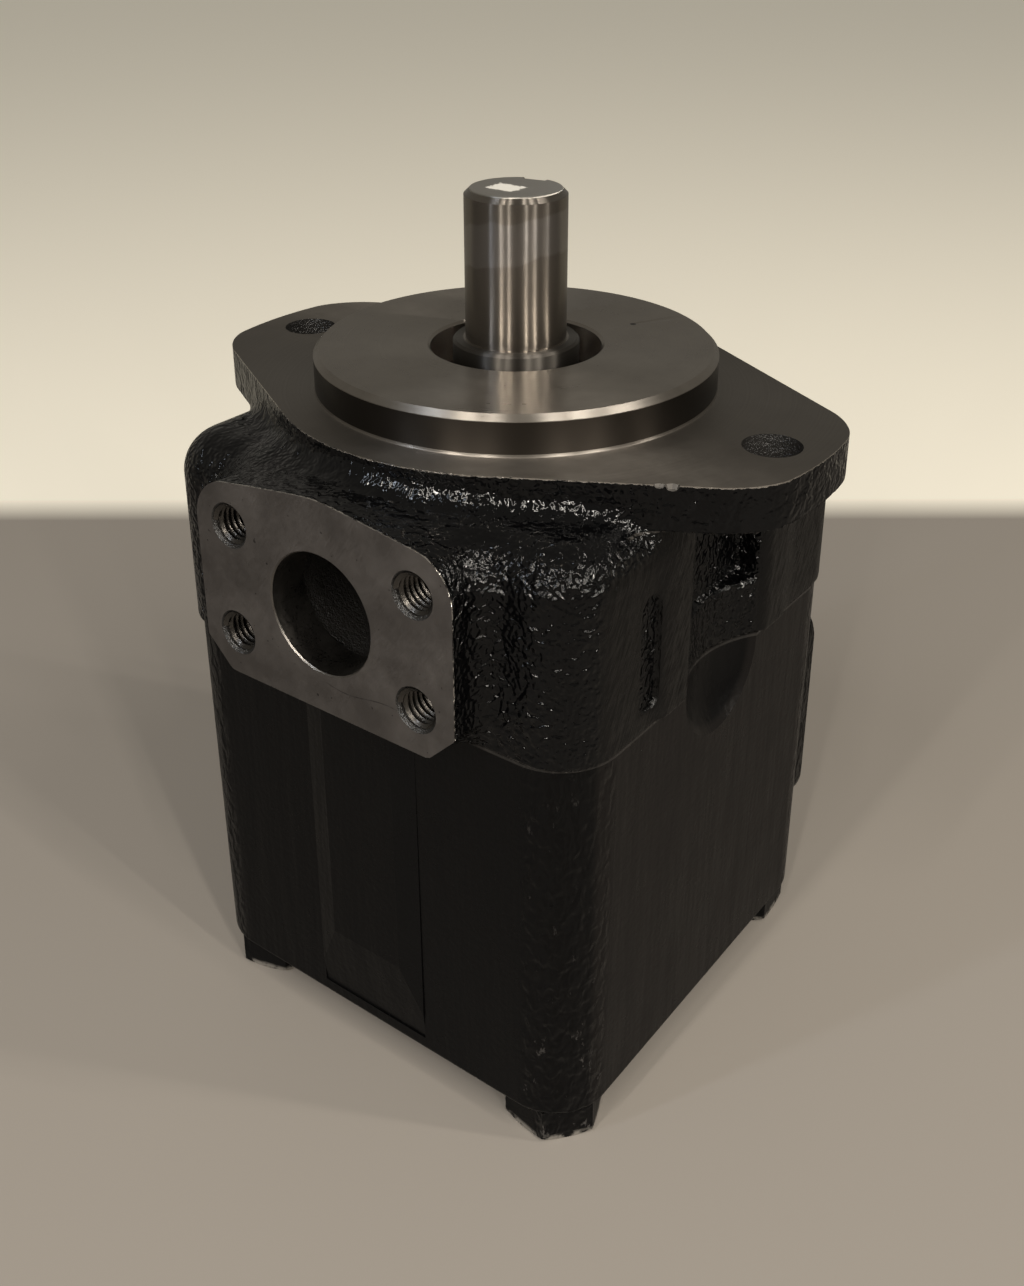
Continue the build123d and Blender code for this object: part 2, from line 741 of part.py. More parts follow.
lip_outer = lip_radius + lip_rise + lip_tube_thickness
lip_top = seal_front + seal_case_wall
with BuildPart() as seal_lip:
    with BuildSketch(Plane.XZ):
        make_face(
            section(
                (
                    (seal_bore_radius - seal_case_wall, -lip_top),
                    (lip_radius + lip_rise, -lip_top),
                    (lip_radius + lip_rise, -lip_top - lip_web),
                    (lip_radius, -lip_top - lip_length + lip_rise),
                    (lip_radius + lip_rise, -lip_top - lip_length),
                    (lip_outer, -lip_top - lip_length),
                    (lip_outer, -lip_top - lip_web),
                    (seal_bore_radius - seal_case_wall, -lip_top - lip_web),
                )
            )
        )
    revolve(axis=Axis.Z)
seal_lip.part.label = "seal_lip"
export_step(seal_lip.part, "parts/seal_lip.step")

garter_radius = lip_outer + garter_section_radius + garter_play
with BuildPart() as seal_spring:
    with BuildSketch(Plane.XZ):
        with Locations((garter_radius, -lip_top - lip_length + garter_section_radius)):
            Circle(garter_section_radius)
    revolve(axis=Axis.Z)
seal_spring.part.label = "seal_spring"
export_step(seal_spring.part, "parts/seal_spring.step")

# Ball bearing: two rings with grooves, the balls, and the cage that keeps them apart
ring_sections = {
    "bearing_inner_ring": (bearing_seat_radius + ring_fit, bearing_inner_land),
    "bearing_outer_ring": (bearing_outer_land, bearing_outer_radius - ring_fit),
}
for name, (inner, outer) in ring_sections.items():
    with BuildPart() as bearing_ring:
        with BuildSketch(Plane.XZ):
            with Locations(((inner + outer) / 2, -bearing_middle)):
                RectangleRounded(outer - inner, bearing_width, bearing_ring_edge)
            with Locations((ball_pitch_radius, -bearing_middle)):
                Circle(ball_radius + race_clearance, mode=Mode.SUBTRACT)
        revolve(axis=Axis.Z)
    bearing_ring.part.label = name
    export_step(bearing_ring.part, f"parts/{name}.step")

with BuildPart() as bearing_balls:
    with Locations(Plane.XY.offset(-bearing_middle)):
        with PolarLocations(ball_pitch_radius, ball_count):
            Sphere(ball_radius)
bearing_balls.part.label = "bearing_balls"
export_step(bearing_balls.part, "parts/bearing_balls.step")

cage_pocket_radius = ball_radius + cage_pocket_clearance
with BuildPart() as bearing_cage:
    with BuildSketch(Plane.XY.offset(-bearing_middle - cage_half_width)):
        Circle(ball_pitch_radius + cage_thickness / 2)
        Circle(ball_pitch_radius - cage_thickness / 2, mode=Mode.SUBTRACT)
    extrude(amount=2 * cage_half_width)
    with Locations(Plane.XY.offset(-bearing_middle)):
        with PolarLocations(ball_pitch_radius, ball_count):
            Cylinder(cage_pocket_radius, 4 * cage_thickness, rotation=(0, 90, 0), mode=Mode.SUBTRACT)
bearing_cage.part.label = "bearing_cage"
export_step(bearing_cage.part, "parts/bearing_cage.step")

# Retaining rings, each with the gap that lets it spring into its groove
retaining_rings = {
    "bearing_circlip": (
        bearing_outer_radius + housing_ring_depth - ring_root_play - housing_ring_height,
        bearing_outer_radius + housing_ring_depth - ring_root_play,
        -bearing_back - ring_side_play - housing_ring_thickness,
        housing_ring_thickness,
    ),
    "shaft_circlip": (
        bearing_seat_radius - shaft_ring_depth + ring_root_play,
        bearing_seat_radius - shaft_ring_depth + ring_root_play + shaft_ring_height,
        -bearing_front,
        shaft_ring_thickness,
    ),
}
for name, (inner, outer, level, thickness) in retaining_rings.items():
    with BuildPart() as retaining_ring:
        with BuildSketch(Plane.XY.offset(level)):
            Circle(outer)
            Circle(inner, mode=Mode.SUBTRACT)
            with Locations(((inner + outer) / 2, 0)):
                Rectangle(2 * (outer - inner), ring_gap, mode=Mode.SUBTRACT)
        extrude(amount=thickness)
    retaining_ring.part.label = name
    export_step(retaining_ring.part, f"parts/{name}.step")

# Front plate: hub into the front body, discharge ports through it, bores for the fixings
with BuildPart() as front_plate:
    with BuildSketch(Plane.XZ):
        make_face(
            section(
                (
                    (plate_shaft_radius, -ring_front),
                    (cartridge_radius, -ring_front),
                    (cartridge_radius, -rim_seal_depth - seal_ring_section),
                    (cartridge_radius - seal_ring_squeeze, -rim_seal_depth - seal_ring_section),
                    (cartridge_radius - seal_ring_squeeze, -rim_seal_depth),
                    (cartridge_radius, -rim_seal_depth),
                    (cartridge_radius, -ring_front + front_plate_thickness),
                    (hub_radius, -ring_front + front_plate_thickness),
                    (hub_radius, -hub_seal_depth - seal_ring_section),
                    (hub_radius - seal_ring_squeeze, -hub_seal_depth - seal_ring_section),
                    (hub_radius - seal_ring_squeeze, -hub_seal_depth),
                    (hub_radius, -hub_seal_depth),
                    (hub_radius, -hub_front),
                    (hub_hollow_radius, -hub_front),
                    (hub_hollow_radius, -hub_front - hub_hollow_depth),
                    (plate_shaft_radius, -hub_front - hub_hollow_depth),
                )
            )
        )
    revolve(axis=Axis.Z)
    with BuildSketch(Plane.XY.offset(-ring_front)):
        kidneys(135, 315)
    extrude(amount=front_plate_thickness, mode=Mode.SUBTRACT)
    with BuildSketch(Plane.XY.offset(-ring_front)):
        with Locations(*fixings(1)):
            Circle(dowel_radius + dowel_clearance)
    extrude(amount=dowel_bite + dowel_end_play, mode=Mode.SUBTRACT)
    with BuildSketch(Plane.XY.offset(-ring_front)):
        with Locations(*fixings(-1)):
            Circle(screw_radius + dowel_clearance)
    extrude(amount=screw_bite + dowel_end_play, mode=Mode.SUBTRACT)
front_plate.part.label = "front_plate"
export_step(front_plate.part, "parts/front_plate.step")

seal_rings = {
    "plate_hub_ring": (hub_radius - seal_ring_squeeze, hub_bore_radius, hub_seal_depth),
    "plate_rim_ring": (cartridge_radius - seal_ring_squeeze, register_radius, rim_seal_depth),
}
for name, (root, bore, depth) in seal_rings.items():
    with BuildPart() as seal_ring:
        with BuildSketch(Plane.XZ):
            with Locations(((root + bore) / 2, -depth - seal_ring_section / 2)):
                RectangleRounded(
                    bore - root - 2 * seal_ring_play,
                    seal_ring_section - 2 * seal_ring_play,
                    seal_ring_corner,
                )
        revolve(axis=Axis.Z)
    seal_ring.part.label = name
    export_step(seal_ring.part, f"parts/{name}.step")

# Cam ring
with BuildPart() as cam_ring:
    with BuildSketch(Plane.XY.offset(-ring_back)):
        Circle(cartridge_radius)
        make_face(cam_outline(), mode=Mode.SUBTRACT)
        with Locations(*fixings(1)):
            Circle(dowel_radius + dowel_clearance, mode=Mode.SUBTRACT)
        with Locations(*fixings(-1)):
            Circle(screw_radius + screw_clearance, mode=Mode.SUBTRACT)
    extrude(amount=ring_width)
cam_ring.part.label = "cam_ring"
export_step(cam_ring.part, "parts/cam_ring.step")

# Rotor: splined bore, and vane slots with round roots
slot_root_radius = vane_root_radius - slot_root_play
slot_mouth_radius = rotor_radius + cut_overrun
slot_width = vane_thickness + 2 * vane_clearance
with BuildPart() as rotor:
    with BuildSketch(Plane.XY.offset(-ring_back + rotor_side_clearance)):
        Circle(rotor_radius)
        Circle(spline_root_radius + spline_clearance, mode=Mode.SUBTRACT)
        with PolarLocations(spline_tip_radius + spline_clearance - spline_tooth_length / 2, spline_count):
            Rectangle(spline_tooth_length, spline_tooth_width + 2 * spline_clearance, mode=Mode.SUBTRACT)
        with PolarLocations((slot_root_radius + slot_mouth_radius) / 2, vane_count):
            Rectangle(slot_mouth_radius - slot_root_radius, slot_width, mode=Mode.SUBTRACT)
        with PolarLocations(slot_root_radius, vane_count):
            Circle(slot_eye_radius, mode=Mode.SUBTRACT)
    extrude(amount=ring_width - 2 * rotor_side_clearance)
rotor.part.label = "rotor"
export_step(rotor.part, "parts/rotor.step")

# Vanes, drawn back to the roots of their slots
for number in range(vane_count):
    angle = number * 360 / vane_count
    with BuildPart() as vane:
        with BuildSketch(
            Plane(
                origin=(0, 0, -ring_back + rotor_side_clearance),
                x_dir=(*polar(1, angle), 0),
                z_dir=(0, 0, 1),
            )
        ):
            with BuildLine():
                half = vane_thickness / 2
                Polyline(
                    (vane_root_radius, -half),
                    (vane_tip_radius - vane_tip_chamfer, -half),
                    (vane_tip_radius, -half + vane_tip_chamfer),
                    (vane_tip_radius, half - vane_tip_chamfer),
                    (vane_tip_radius - vane_tip_chamfer, half),
                    (vane_root_radius, half),
                    close=True,
                )
            make_face()
        extrude(amount=ring_width - 2 * rotor_side_clearance)
    vane.part.label = f"vane_{number + 1:02d}"
    export_step(vane.part, f"parts/vane_{number + 1:02d}.step")

# Rear plate: suction ports through it, a hub for the bush, seats for the screw heads
rear_journal_bore = rear_journal_radius + bush_clearance
with BuildPart() as rear_plate:
    with BuildSketch(Plane.XY.offset(-plate_back)):
        Circle(cartridge_radius)
    extrude(amount=rear_plate_thickness)
    with BuildSketch(Plane.XY.offset(-plate_back)):
        Circle(rear_hub_radius)
    extrude(amount=-rear_hub_length)
    with BuildSketch(Plane.XY.offset(-ring_back)):
        Circle(rear_journal_bore + bush_wall)
    extrude(amount=-rear_plate_thickness - rear_hub_length, mode=Mode.SUBTRACT)
    with BuildSketch(Plane.XY.offset(-plate_back)):
        kidneys(45, 225)
        with Locations(*fixings(-1)):
            Circle(screw_radius + screw_clearance)
    extrude(amount=rear_plate_thickness, mode=Mode.SUBTRACT)
    with BuildSketch(Plane.XY.offset(-ring_back)):
        with Locations(*fixings(1)):
            Circle(dowel_radius + dowel_clearance)
    extrude(amount=-dowel_bite - dowel_end_play, mode=Mode.SUBTRACT)
    with BuildSketch(Plane.XY.offset(-plate_back)):
        with Locations(*fixings(-1)):
            Circle(screw_head_radius + screw_clearance)
    extrude(amount=screw_head_height + screw_clearance, mode=Mode.SUBTRACT)
rear_plate.part.label = "rear_plate"
export_step(rear_plate.part, "parts/rear_plate.step")

with BuildPart() as rear_bush:
    with BuildSketch(Plane.XY.offset(-ring_back - bush_inset)):
        Circle(rear_journal_bore + bush_wall)
        Circle(rear_journal_bore, mode=Mode.SUBTRACT)
    extrude(amount=-bush_length)
rear_bush.part.label = "rear_bush"
export_step(rear_bush.part, "parts/rear_bush.step")

# Dowels and screws of the cartridge
for number, place in enumerate(fixings(1), 1):
    with BuildPart() as dowel_pin:
        with BuildSketch(Plane.XY.offset(-ring_back - dowel_bite)):
            with Locations(place):
                Circle(dowel_radius)
        extrude(amount=ring_width + 2 * dowel_bite)
        chamfer(dowel_pin.edges().filter_by(GeomType.CIRCLE), dowel_chamfer)
    dowel_pin.part.label = f"dowel_pin_{number}"
    export_step(dowel_pin.part, f"parts/dowel_pin_{number}.step")

for number, place in enumerate(fixings(-1), 1):
    with BuildPart() as cartridge_screw:
        with BuildSketch(Plane.XY.offset(-plate_back + screw_clearance)):
            with Locations(place):
                Circle(screw_head_radius)
        extrude(amount=screw_head_height)
        with BuildSketch(Plane.XY.offset(-plate_back + screw_clearance)):
            with Locations(place):
                RegularPolygon(radius=socket_radius, side_count=6, major_radius=False)
        extrude(amount=socket_depth, mode=Mode.SUBTRACT)
        with BuildSketch(Plane.XY.offset(-plate_back + screw_clearance + screw_head_height)):
            with Locations(place):
                Circle(screw_radius)
        extrude(amount=plate_back - ring_front - screw_clearance - screw_head_height + screw_bite)
    cartridge_screw.part.label = f"cartridge_screw_{number}"
    export_step(cartridge_screw.part, f"parts/cartridge_screw_{number}.step")

# Joint seal, squeezed flat in its groove
with BuildPart() as cap_ring:
    with BuildSketch(Plane.XZ):
        with Locations((joint_seal_radius, -joint_depth - joint_seal_height / 2)):
            RectangleRounded(
                joint_seal_width - 2 * seal_ring_play,
                joint_seal_height - 2 * seal_ring_play,
                seal_ring_corner,
            )
    revolve(axis=Axis.Z)
cap_ring.part.label = "cap_ring"
export_step(cap_ring.part, "parts/cap_ring.step")
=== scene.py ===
# %% [markdown]
# A hydraulic vane pump, dressed over its measured frame
#
# The pump stands on the heads of its four long bolts. What the camera sees of it is mostly two
# castings under thick black paint, and the few faces that a lathe and a mill have cut bare.
# This file makes the front casting the way a foundry and a machine shop do: a soft, rounded
# blank first, and sharp cuts afterwards. The finishes are made before the cuts, because each
# tool carries the one that it leaves.

import json
from math import cos, pi, radians, sin, sqrt

import bmesh
import bpy
import numpy as np
from mathutils import Matrix, Vector


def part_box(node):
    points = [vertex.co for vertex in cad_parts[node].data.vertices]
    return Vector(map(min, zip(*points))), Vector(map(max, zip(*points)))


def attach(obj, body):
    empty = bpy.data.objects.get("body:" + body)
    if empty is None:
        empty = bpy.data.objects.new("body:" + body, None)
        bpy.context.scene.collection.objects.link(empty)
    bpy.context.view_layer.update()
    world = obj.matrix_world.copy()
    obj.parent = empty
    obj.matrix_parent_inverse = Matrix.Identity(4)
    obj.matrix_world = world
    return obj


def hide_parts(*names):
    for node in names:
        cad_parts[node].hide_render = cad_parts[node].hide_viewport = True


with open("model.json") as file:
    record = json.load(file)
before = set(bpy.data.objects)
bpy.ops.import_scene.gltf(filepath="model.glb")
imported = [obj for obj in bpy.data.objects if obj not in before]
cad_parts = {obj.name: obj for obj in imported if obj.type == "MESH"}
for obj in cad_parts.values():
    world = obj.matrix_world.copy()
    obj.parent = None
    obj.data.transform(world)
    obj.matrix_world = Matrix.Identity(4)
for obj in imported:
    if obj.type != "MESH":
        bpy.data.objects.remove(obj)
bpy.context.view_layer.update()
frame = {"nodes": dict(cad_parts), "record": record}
nodes = frame["nodes"]
MM = 0.001

# %% [markdown]
# The sizes of the castings
#
# All are in millimetres, counted from the flange's face on the shaft's axis. What the frame
# holds is read from it, so that skin and solid agree. The rest repeats the solid's own sizes, or
# is the skin's alone, like the neck's fillet.

# %% Sizes that the frame gives
cap_low, cap_high = (np.array(corner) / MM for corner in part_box("front_cap"))
mounts = {mount["name"]: mount for mount in frame["record"]["mounts"]}

pilot_top = cap_high[2]
joint_level = cap_low[2]
flange_reach = cap_high[0]
suction_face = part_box("rear_housing")[1].y / MM
shaft_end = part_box("shaft")[1].z / MM
standing_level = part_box("housing_bolt_1")[0].z / MM
port_face = cap_low[1]
port_level = mounts["pressure_port"]["pos_m"][2] / MM
port_bore = mounts["pressure_port"]["dims"]["r_mm"]
pilot_radius = mounts["pilot"]["dims"]["r_mm"]
bolt_circle = mounts["mounting_bolts"]["dims"]["spacing_x_mm"] / 2
print("pilot top", pilot_top, "joint", joint_level, "port face", port_face, "port level", port_level)

# %% Sizes of the front casting
cap_half = 79.8
cap_corner = 17.0
shoulder_level = -11.0
shoulder_radius = 14.0
joint_edge = 0.9
flange_waist = 75.5
flange_side_angle = radians(29.6)
flange_corner = 8.0
flange_edge = 1.0
flange_thickness = 14.3
neck_fillet = 7.0
ear_fillet = 1.6
ear_start, ear_end = 60, 74
print("body", 2 * cap_half, "mm square, flange", flange_thickness, "mm thick")

# %% Sizes of the cheeks and of the port's boss
cheek_half = 43.0
rear_cheek_half = 46.0
cheek_edge = 9.0
cheek_top_edge = 3.0
cheek_fillet = 5.0
cheek_overlap = 6.0
rear_cheek_drop = 0.5
boss_half = 48.5
boss_apex = 6.5
boss_eaves = 13.5
boss_ridge = 6.0
boss_corner = 12.0
boss_chamfer = 9.5
boss_face_edge = 0.5
boss_root = 25.0
boss_foot_fillet = 8.0
print("boss", 2 * boss_half, "mm wide, cheeks", 2 * cheek_half, "and", 2 * rear_cheek_half, "mm")

# %% Sizes of what is hollowed beside the mounting holes
pocket_half = 21.4
pocket_wall = 70.7
pocket_floor = -55.5
pocket_fillet = 2.0
pocket_lip = 1.2
scoop_radius = 37.6
scoop_centre = 110.1
scoop_lip = 1.5
recess_place = -44.5
recess_level = -51.0
recess_half_length = 14.0
recess_half_width = 4.6
recess_depth = 1.1
recess_fillet = 0.5
recess_lip = 0.6
machining_stock = 1.5
spigot_root = 5.0
print("pocket", 2 * pocket_half, "mm wide, scoop radius", scoop_radius)

# %% [markdown]
# Distances that melt together
#
# A casting has no sharp inner corner: where a boss meets a wall, the pattern maker runs a
# fillet of wax along it. Booleans between exact solids can't do that along a wandering edge.
# So the blank is written as a distance instead: a function that is negative inside the metal
# and positive outside. Two distances join with a fillet by one short formula.

# %% Helpers: join and trim distances
def melt(a, b, radius):
    """Union of two solids. Within radius of both, the distance is that to a hollow quarter round."""
    u = np.maximum(radius - a, 0)
    v = np.maximum(radius - b, 0)
    return np.maximum(radius, np.minimum(a, b)) - np.hypot(u, v)


def trim(a, b, radius):
    """Common part of two solids, its edge a bulging quarter round of that radius."""
    u = np.maximum(radius + a, 0)
    v = np.maximum(radius + b, 0)
    return np.minimum(-radius, np.maximum(a, b)) + np.hypot(u, v)


def ease(value, start, end):
    """0 before start, 1 after end, and a smooth cubic step between them."""
    t = np.clip((value - start) / (end - start), 0, 1)
    return t * t * (3 - 2 * t)


def rounded_square(x, y, half, corner):
    """Distance to a square with round corners: that to a smaller square, less the corner radius."""
    qx = np.abs(x) - half + corner
    qy = np.abs(y) - half + corner
    return np.hypot(np.maximum(qx, 0), np.maximum(qy, 0)) + np.minimum(np.maximum(qx, qy), 0) - corner


def flange_distance(x, y):
    """Two-bolt flange: a round waist, straight sides tangent to it, and a round end, corners eased."""
    ax, ay = np.abs(x), np.abs(y)
    along = ax * cos(flange_side_angle) - ay * sin(flange_side_angle)
    side = ax * sin(flange_side_angle) + ay * cos(flange_side_angle) - flange_waist
    rim = np.where(along < 0, np.hypot(x, y) - flange_waist, side)
    return trim(rim, np.hypot(x, y) - flange_reach, flange_corner)


# %% [markdown]
# The front casting as one distance
#
# Read it as a recipe: a rounded square body with a soft shoulder, flat cheeks that climb to
# the flange, a gabled boss for the pressure port, then the flange itself, each melted into
# the last. The pockets and the scoops under the ears, where the mounting bolts' nuts go, are
# taken out with soft edges, and so is one shallow oblong recess beside the pocket on the +X side.

# %% The front casting
def cap_blank(x, y, z):
    """Distance to the front body as cast, with stock left on the faces that are machined."""
    body = trim(rounded_square(x, y, cap_half, cap_corner), z - shoulder_level, shoulder_radius)
    cheek = trim(np.abs(x) - cap_half, np.abs(y) - cheek_half, cheek_edge)
    cheek = trim(cheek, z + flange_thickness - cheek_overlap, cheek_top_edge)
    body = melt(body, cheek, cheek_fillet)
    rear = trim(y - cap_half, np.abs(x) - rear_cheek_half, cheek_edge)
    rear = trim(rear, z - shoulder_level + rear_cheek_drop, cheek_top_edge)
    body = melt(body, np.maximum(rear, -y), cheek_fillet)

    flank = np.abs(x) - boss_half
    slope = (boss_eaves - boss_apex) / boss_half
    roof = (np.sqrt(x * x + boss_ridge**2) * slope + z + boss_apex) / sqrt(1 + slope * slope)
    foot_cut = (np.abs(x) - z - (boss_half - joint_level) + boss_chamfer) / sqrt(2)
    boss = np.maximum(trim(flank, roof, boss_corner), foot_cut)
    boss = trim(boss, port_face - machining_stock - y, boss_face_edge)
    body = melt(body, np.maximum(boss, y + cap_half - boss_root), boss_foot_fillet)

    pocket = trim(np.abs(y) - pocket_half, pocket_wall - np.abs(x), pocket_fillet)
    pocket = trim(pocket, pocket_floor - z, pocket_fillet)
    body = trim(body, -pocket, pocket_lip)
    scoop = np.hypot(np.abs(x) - scoop_centre, y) - scoop_radius
    body = trim(body, -scoop, scoop_lip)
    along = np.maximum(np.abs(z - recess_level) - recess_half_length, 0)
    recess = np.hypot(y - recess_place, along) - recess_half_width
    recess = trim(recess, cap_half - recess_depth - x, recess_fillet)
    body = trim(body, -recess, recess_lip)

    flange = trim(flange_distance(x, y), -z - flange_thickness, flange_edge)
    flange = np.maximum(flange, z - machining_stock)
    fillet = ear_fillet + (neck_fillet - ear_fillet) * (1 - ease(np.abs(x), ear_start, ear_end))
    cast = melt(body, flange, fillet)
    spigot = np.maximum(np.hypot(x, y) - pilot_radius - machining_stock, z - pilot_top - machining_stock)
    cast = np.minimum(cast, np.maximum(spigot, -z - spigot_root))
    return trim(cast, joint_level - z, joint_edge)


# %% [markdown]
# From a distance to a skin
#
# Surface nets turn a distance into a mesh: the space is cut into small cells, each cell that
# the surface crosses gets one point, and each crossed grid edge gets one quad round it. A few
# Newton steps then slide every point along the slope of the distance until it lies exactly on
# the surface, so the coarse grid leaves no stairs.

# %% Helper: surface nets
def net(distance, low, high, pitch):
    """Points and quads of the surface where distance is 0.
    A cell's point is the mean of the crossings on its edges. A quad joins the four cells round an edge."""
    axes = [np.arange(l - 2 * pitch, h + 3 * pitch, pitch) for l, h in zip(low, high)]
    values = distance(*np.meshgrid(*axes, indexing="ij", sparse=True))
    shape = np.array(values.shape)
    total = np.zeros((3, values.size))
    count = np.zeros(values.size)
    rings = []
    for axis in range(3):
        here = [slice(None)] * 3
        after = [slice(None)] * 3
        here[axis], after[axis] = slice(0, -1), slice(1, None)
        a, b = values[tuple(here)], values[tuple(after)]
        edge = np.argwhere((a < 0) != (b < 0))
        first, second = a[tuple(edge.T)], b[tuple(edge.T)]
        point = edge.astype(float)
        point[:, axis] += first / (first - second)
        u, v = (axis + 1) % 3, (axis + 2) % 3
        corners = []
        for du, dv in ((0, 0), (1, 0), (1, 1), (0, 1)):
            cell = edge.copy()
            cell[:, u] -= du
            cell[:, v] -= dv
            flat = np.ravel_multi_index(cell.T, shape)
            corners.append(flat)
            count += np.bincount(flat, minlength=values.size)
            for k in range(3):
                total[k] += np.bincount(flat, weights=point[:, k], minlength=values.size)
        ring = np.stack(corners, 1)
        ring[first >= 0] = ring[first >= 0][:, ::-1]
        rings.append(ring)
    used = np.flatnonzero(count)
    number = np.zeros(values.size, int)
    number[used] = np.arange(used.size)
    points = (total[:, used] / count[used]).T * pitch + np.array([axis[0] for axis in axes])
    return settle(distance, points, pitch), number[np.concatenate(rings)]


def settle(distance, points, pitch):
    """Newton's step, three times: back along the slope by the distance over the slope squared."""
    h, flattest = 0.05, 0.2
    for _ in range(3):
        x, y, z = points.T
        value = distance(x, y, z)
        slope = np.stack(
            [
                distance(x + h, y, z) - distance(x - h, y, z),
                distance(x, y + h, z) - distance(x, y - h, z),
                distance(x, y, z + h) - distance(x, y, z - h),
            ],
            1,
        ) / (2 * h)
        step = value[:, None] * slope / np.maximum((slope**2).sum(1), flattest)[:, None]
        points = points - np.clip(step, -pitch / 2, pitch / 2)
    return points


# %% Helper: meshes in metres
def make_mesh(name, points, faces, smooth=True):
    """A mesh object from points in millimetres and faces of equal length, as whole arrays."""
    faces = np.asarray(faces)
    mesh = bpy.data.meshes.new(name)
    mesh.vertices.add(len(points))
    mesh.vertices.foreach_set("co", (np.asarray(points, float) * MM).astype(np.float32).ravel())
    mesh.loops.add(faces.size)
    mesh.loops.foreach_set("vertex_index", faces.astype(np.int32).ravel())
    mesh.polygons.add(len(faces))
    mesh.polygons.foreach_set("loop_start", np.arange(0, faces.size, faces.shape[1], dtype=np.int32))
    mesh.polygons.foreach_set("use_smooth", np.full(len(faces), smooth))
    mesh.update(calc_edges=True)
    mesh.validate()
    piece = bpy.data.objects.new(name, mesh)
    bpy.context.scene.collection.objects.link(piece)
    return piece


def turned(name, profile, segments, centre=(0, 0, 0), axis="Z"):
    """A solid of revolution. Each (radius, height) of the closed profile is carried round the axis:
    (r cos t, r sin t, h). Points on the axis are merged into poles, as small rings there would be."""
    radius, height = np.array(profile, float).T
    t = np.arange(segments) * 2 * pi / segments
    level = np.repeat(height[:, None], segments, 1)
    ring = np.stack([np.outer(radius, np.cos(t)), np.outer(radius, np.sin(t)), level], -1)
    if axis == "Y":
        ring = ring[..., [0, 2, 1]]
        ring[..., 0] *= -1
    count = len(profile)
    i = np.arange(count)[:, None]
    j = np.arange(segments)[None, :]
    here = i * segments
    after = (i + 1) % count * segments
    turn = (j + 1) % segments
    quads = np.stack([here + j, here + turn, after + turn, after + j], -1)
    piece = make_mesh(name, ring.reshape(-1, 3) + np.array(centre), quads.reshape(-1, 4))
    weld(piece)
    return piece


def weld(piece, reach=0.0001 * MM):
    """Merges doubles and turns the faces outwards."""
    work = bmesh.new()
    work.from_mesh(piece.data)
    bmesh.ops.remove_doubles(work, verts=work.verts, dist=reach)
    bmesh.ops.dissolve_degenerate(work, edges=work.edges, dist=reach)
    bmesh.ops.recalc_face_normals(work, faces=work.faces)
    work.to_mesh(piece.data)
    work.free()


# %% Helper: cut one mesh with another
def cut(piece, tools):
    """Boolean cuts, one for each tool. The new faces keep the tool's finish: all the meshes share
    one list of materials, and each face points at its own."""
    meshes = [piece.data, *(tool.data for tool in tools)]
    common = list(dict.fromkeys(mesh.materials[0] for mesh in meshes))
    for mesh in meshes:
        own = common.index(mesh.materials[0])
        mesh.materials.clear()
        for material in common:
            mesh.materials.append(material)
        mesh.polygons.foreach_set("material_index", np.full(len(mesh.polygons), own, dtype=np.int32))
    for tool in tools:
        modifier = piece.modifiers.new("cut", "BOOLEAN")
        modifier.operation = "DIFFERENCE"
        modifier.solver = "MANIFOLD"
        modifier.object = tool
    made = bpy.data.meshes.new_from_object(piece.evaluated_get(bpy.context.evaluated_depsgraph_get()))
    piece.modifiers.clear()
    old = piece.data
    piece.data = made
    bpy.data.meshes.remove(old)
    for tool in tools:
        bpy.data.objects.remove(tool)


# %% [markdown]
# Finishes
#
# Each finish is one function that builds a small node tree on Object coordinates, so the
# pattern stays in place when a body turns. Grain, scratches and runs in the paint are noise at
# the size that the real one has, in metres. An image of paint could do this too, but it would
# have to be wrapped round each casting, and it blurs when the camera comes near.

# %% Helper: sums with nodes
class Nodes:
    """Short calls for the nodes that do sums on values and mix colours."""

    def __init__(self, tree):
        self.tree = tree

    def add(self, kind, **settings):
        node = self.tree.nodes.new(kind)
        for key, value in settings.items():
            setattr(node, key, value)
        return node

    def link(self, a, b):
        self.tree.links.new(a, b)

    def range(self, value, low, high, to_low=0.0, to_high=1.0):
        """Carries the range low..high onto to_low..to_high, and stops at both ends."""
        node = self.add("ShaderNodeMapRange")
        for label, number in zip(("From Min", "From Max", "To Min", "To Max"), (low, high, to_low, to_high)):
            node.inputs[label].default_value = number
        self.link(value, node.inputs["Value"])
        return node.outputs["Result"]

    def math(self, operation, *values):
        """One Math node. Each value is a socket or a plain number."""
        node = self.add("ShaderNodeMath", operation=operation)
        for socket, value in zip(node.inputs, values):
            if isinstance(value, (int, float)):
                socket.default_value = value
            else:
                self.link(value, socket)
        return node.outputs["Value"]

    def times(self, first, *others):
        """Product of sockets and numbers."""
        for other in others:
            first = self.math("MULTIPLY", first, other)
        return first

    def plus(self, first, *others):
        """Sum of sockets and numbers."""
        for other in others:
            first = self.math("ADD", first, other)
        return first

    def mix(self, share, a, b):
        """Colour a where share is 0, b where it is 1."""
        node = self.add("ShaderNodeMix", data_type="RGBA")
        sockets = [s for s in node.inputs if s.enabled]
        for socket, value in zip(sockets, (share, a, b)):
            if isinstance(value, tuple):
                socket.default_value = (*value, 1)
            else:
                self.link(value, socket)
        return [s for s in node.outputs if s.enabled][0]

    def band(self, value, low, high, soft=0.0001):
        """1 between low and high, 0 outside, with soft edges."""
        return self.times(self.range(value, low, low + soft), self.range(value, high - soft, high, 1.0, 0.0))


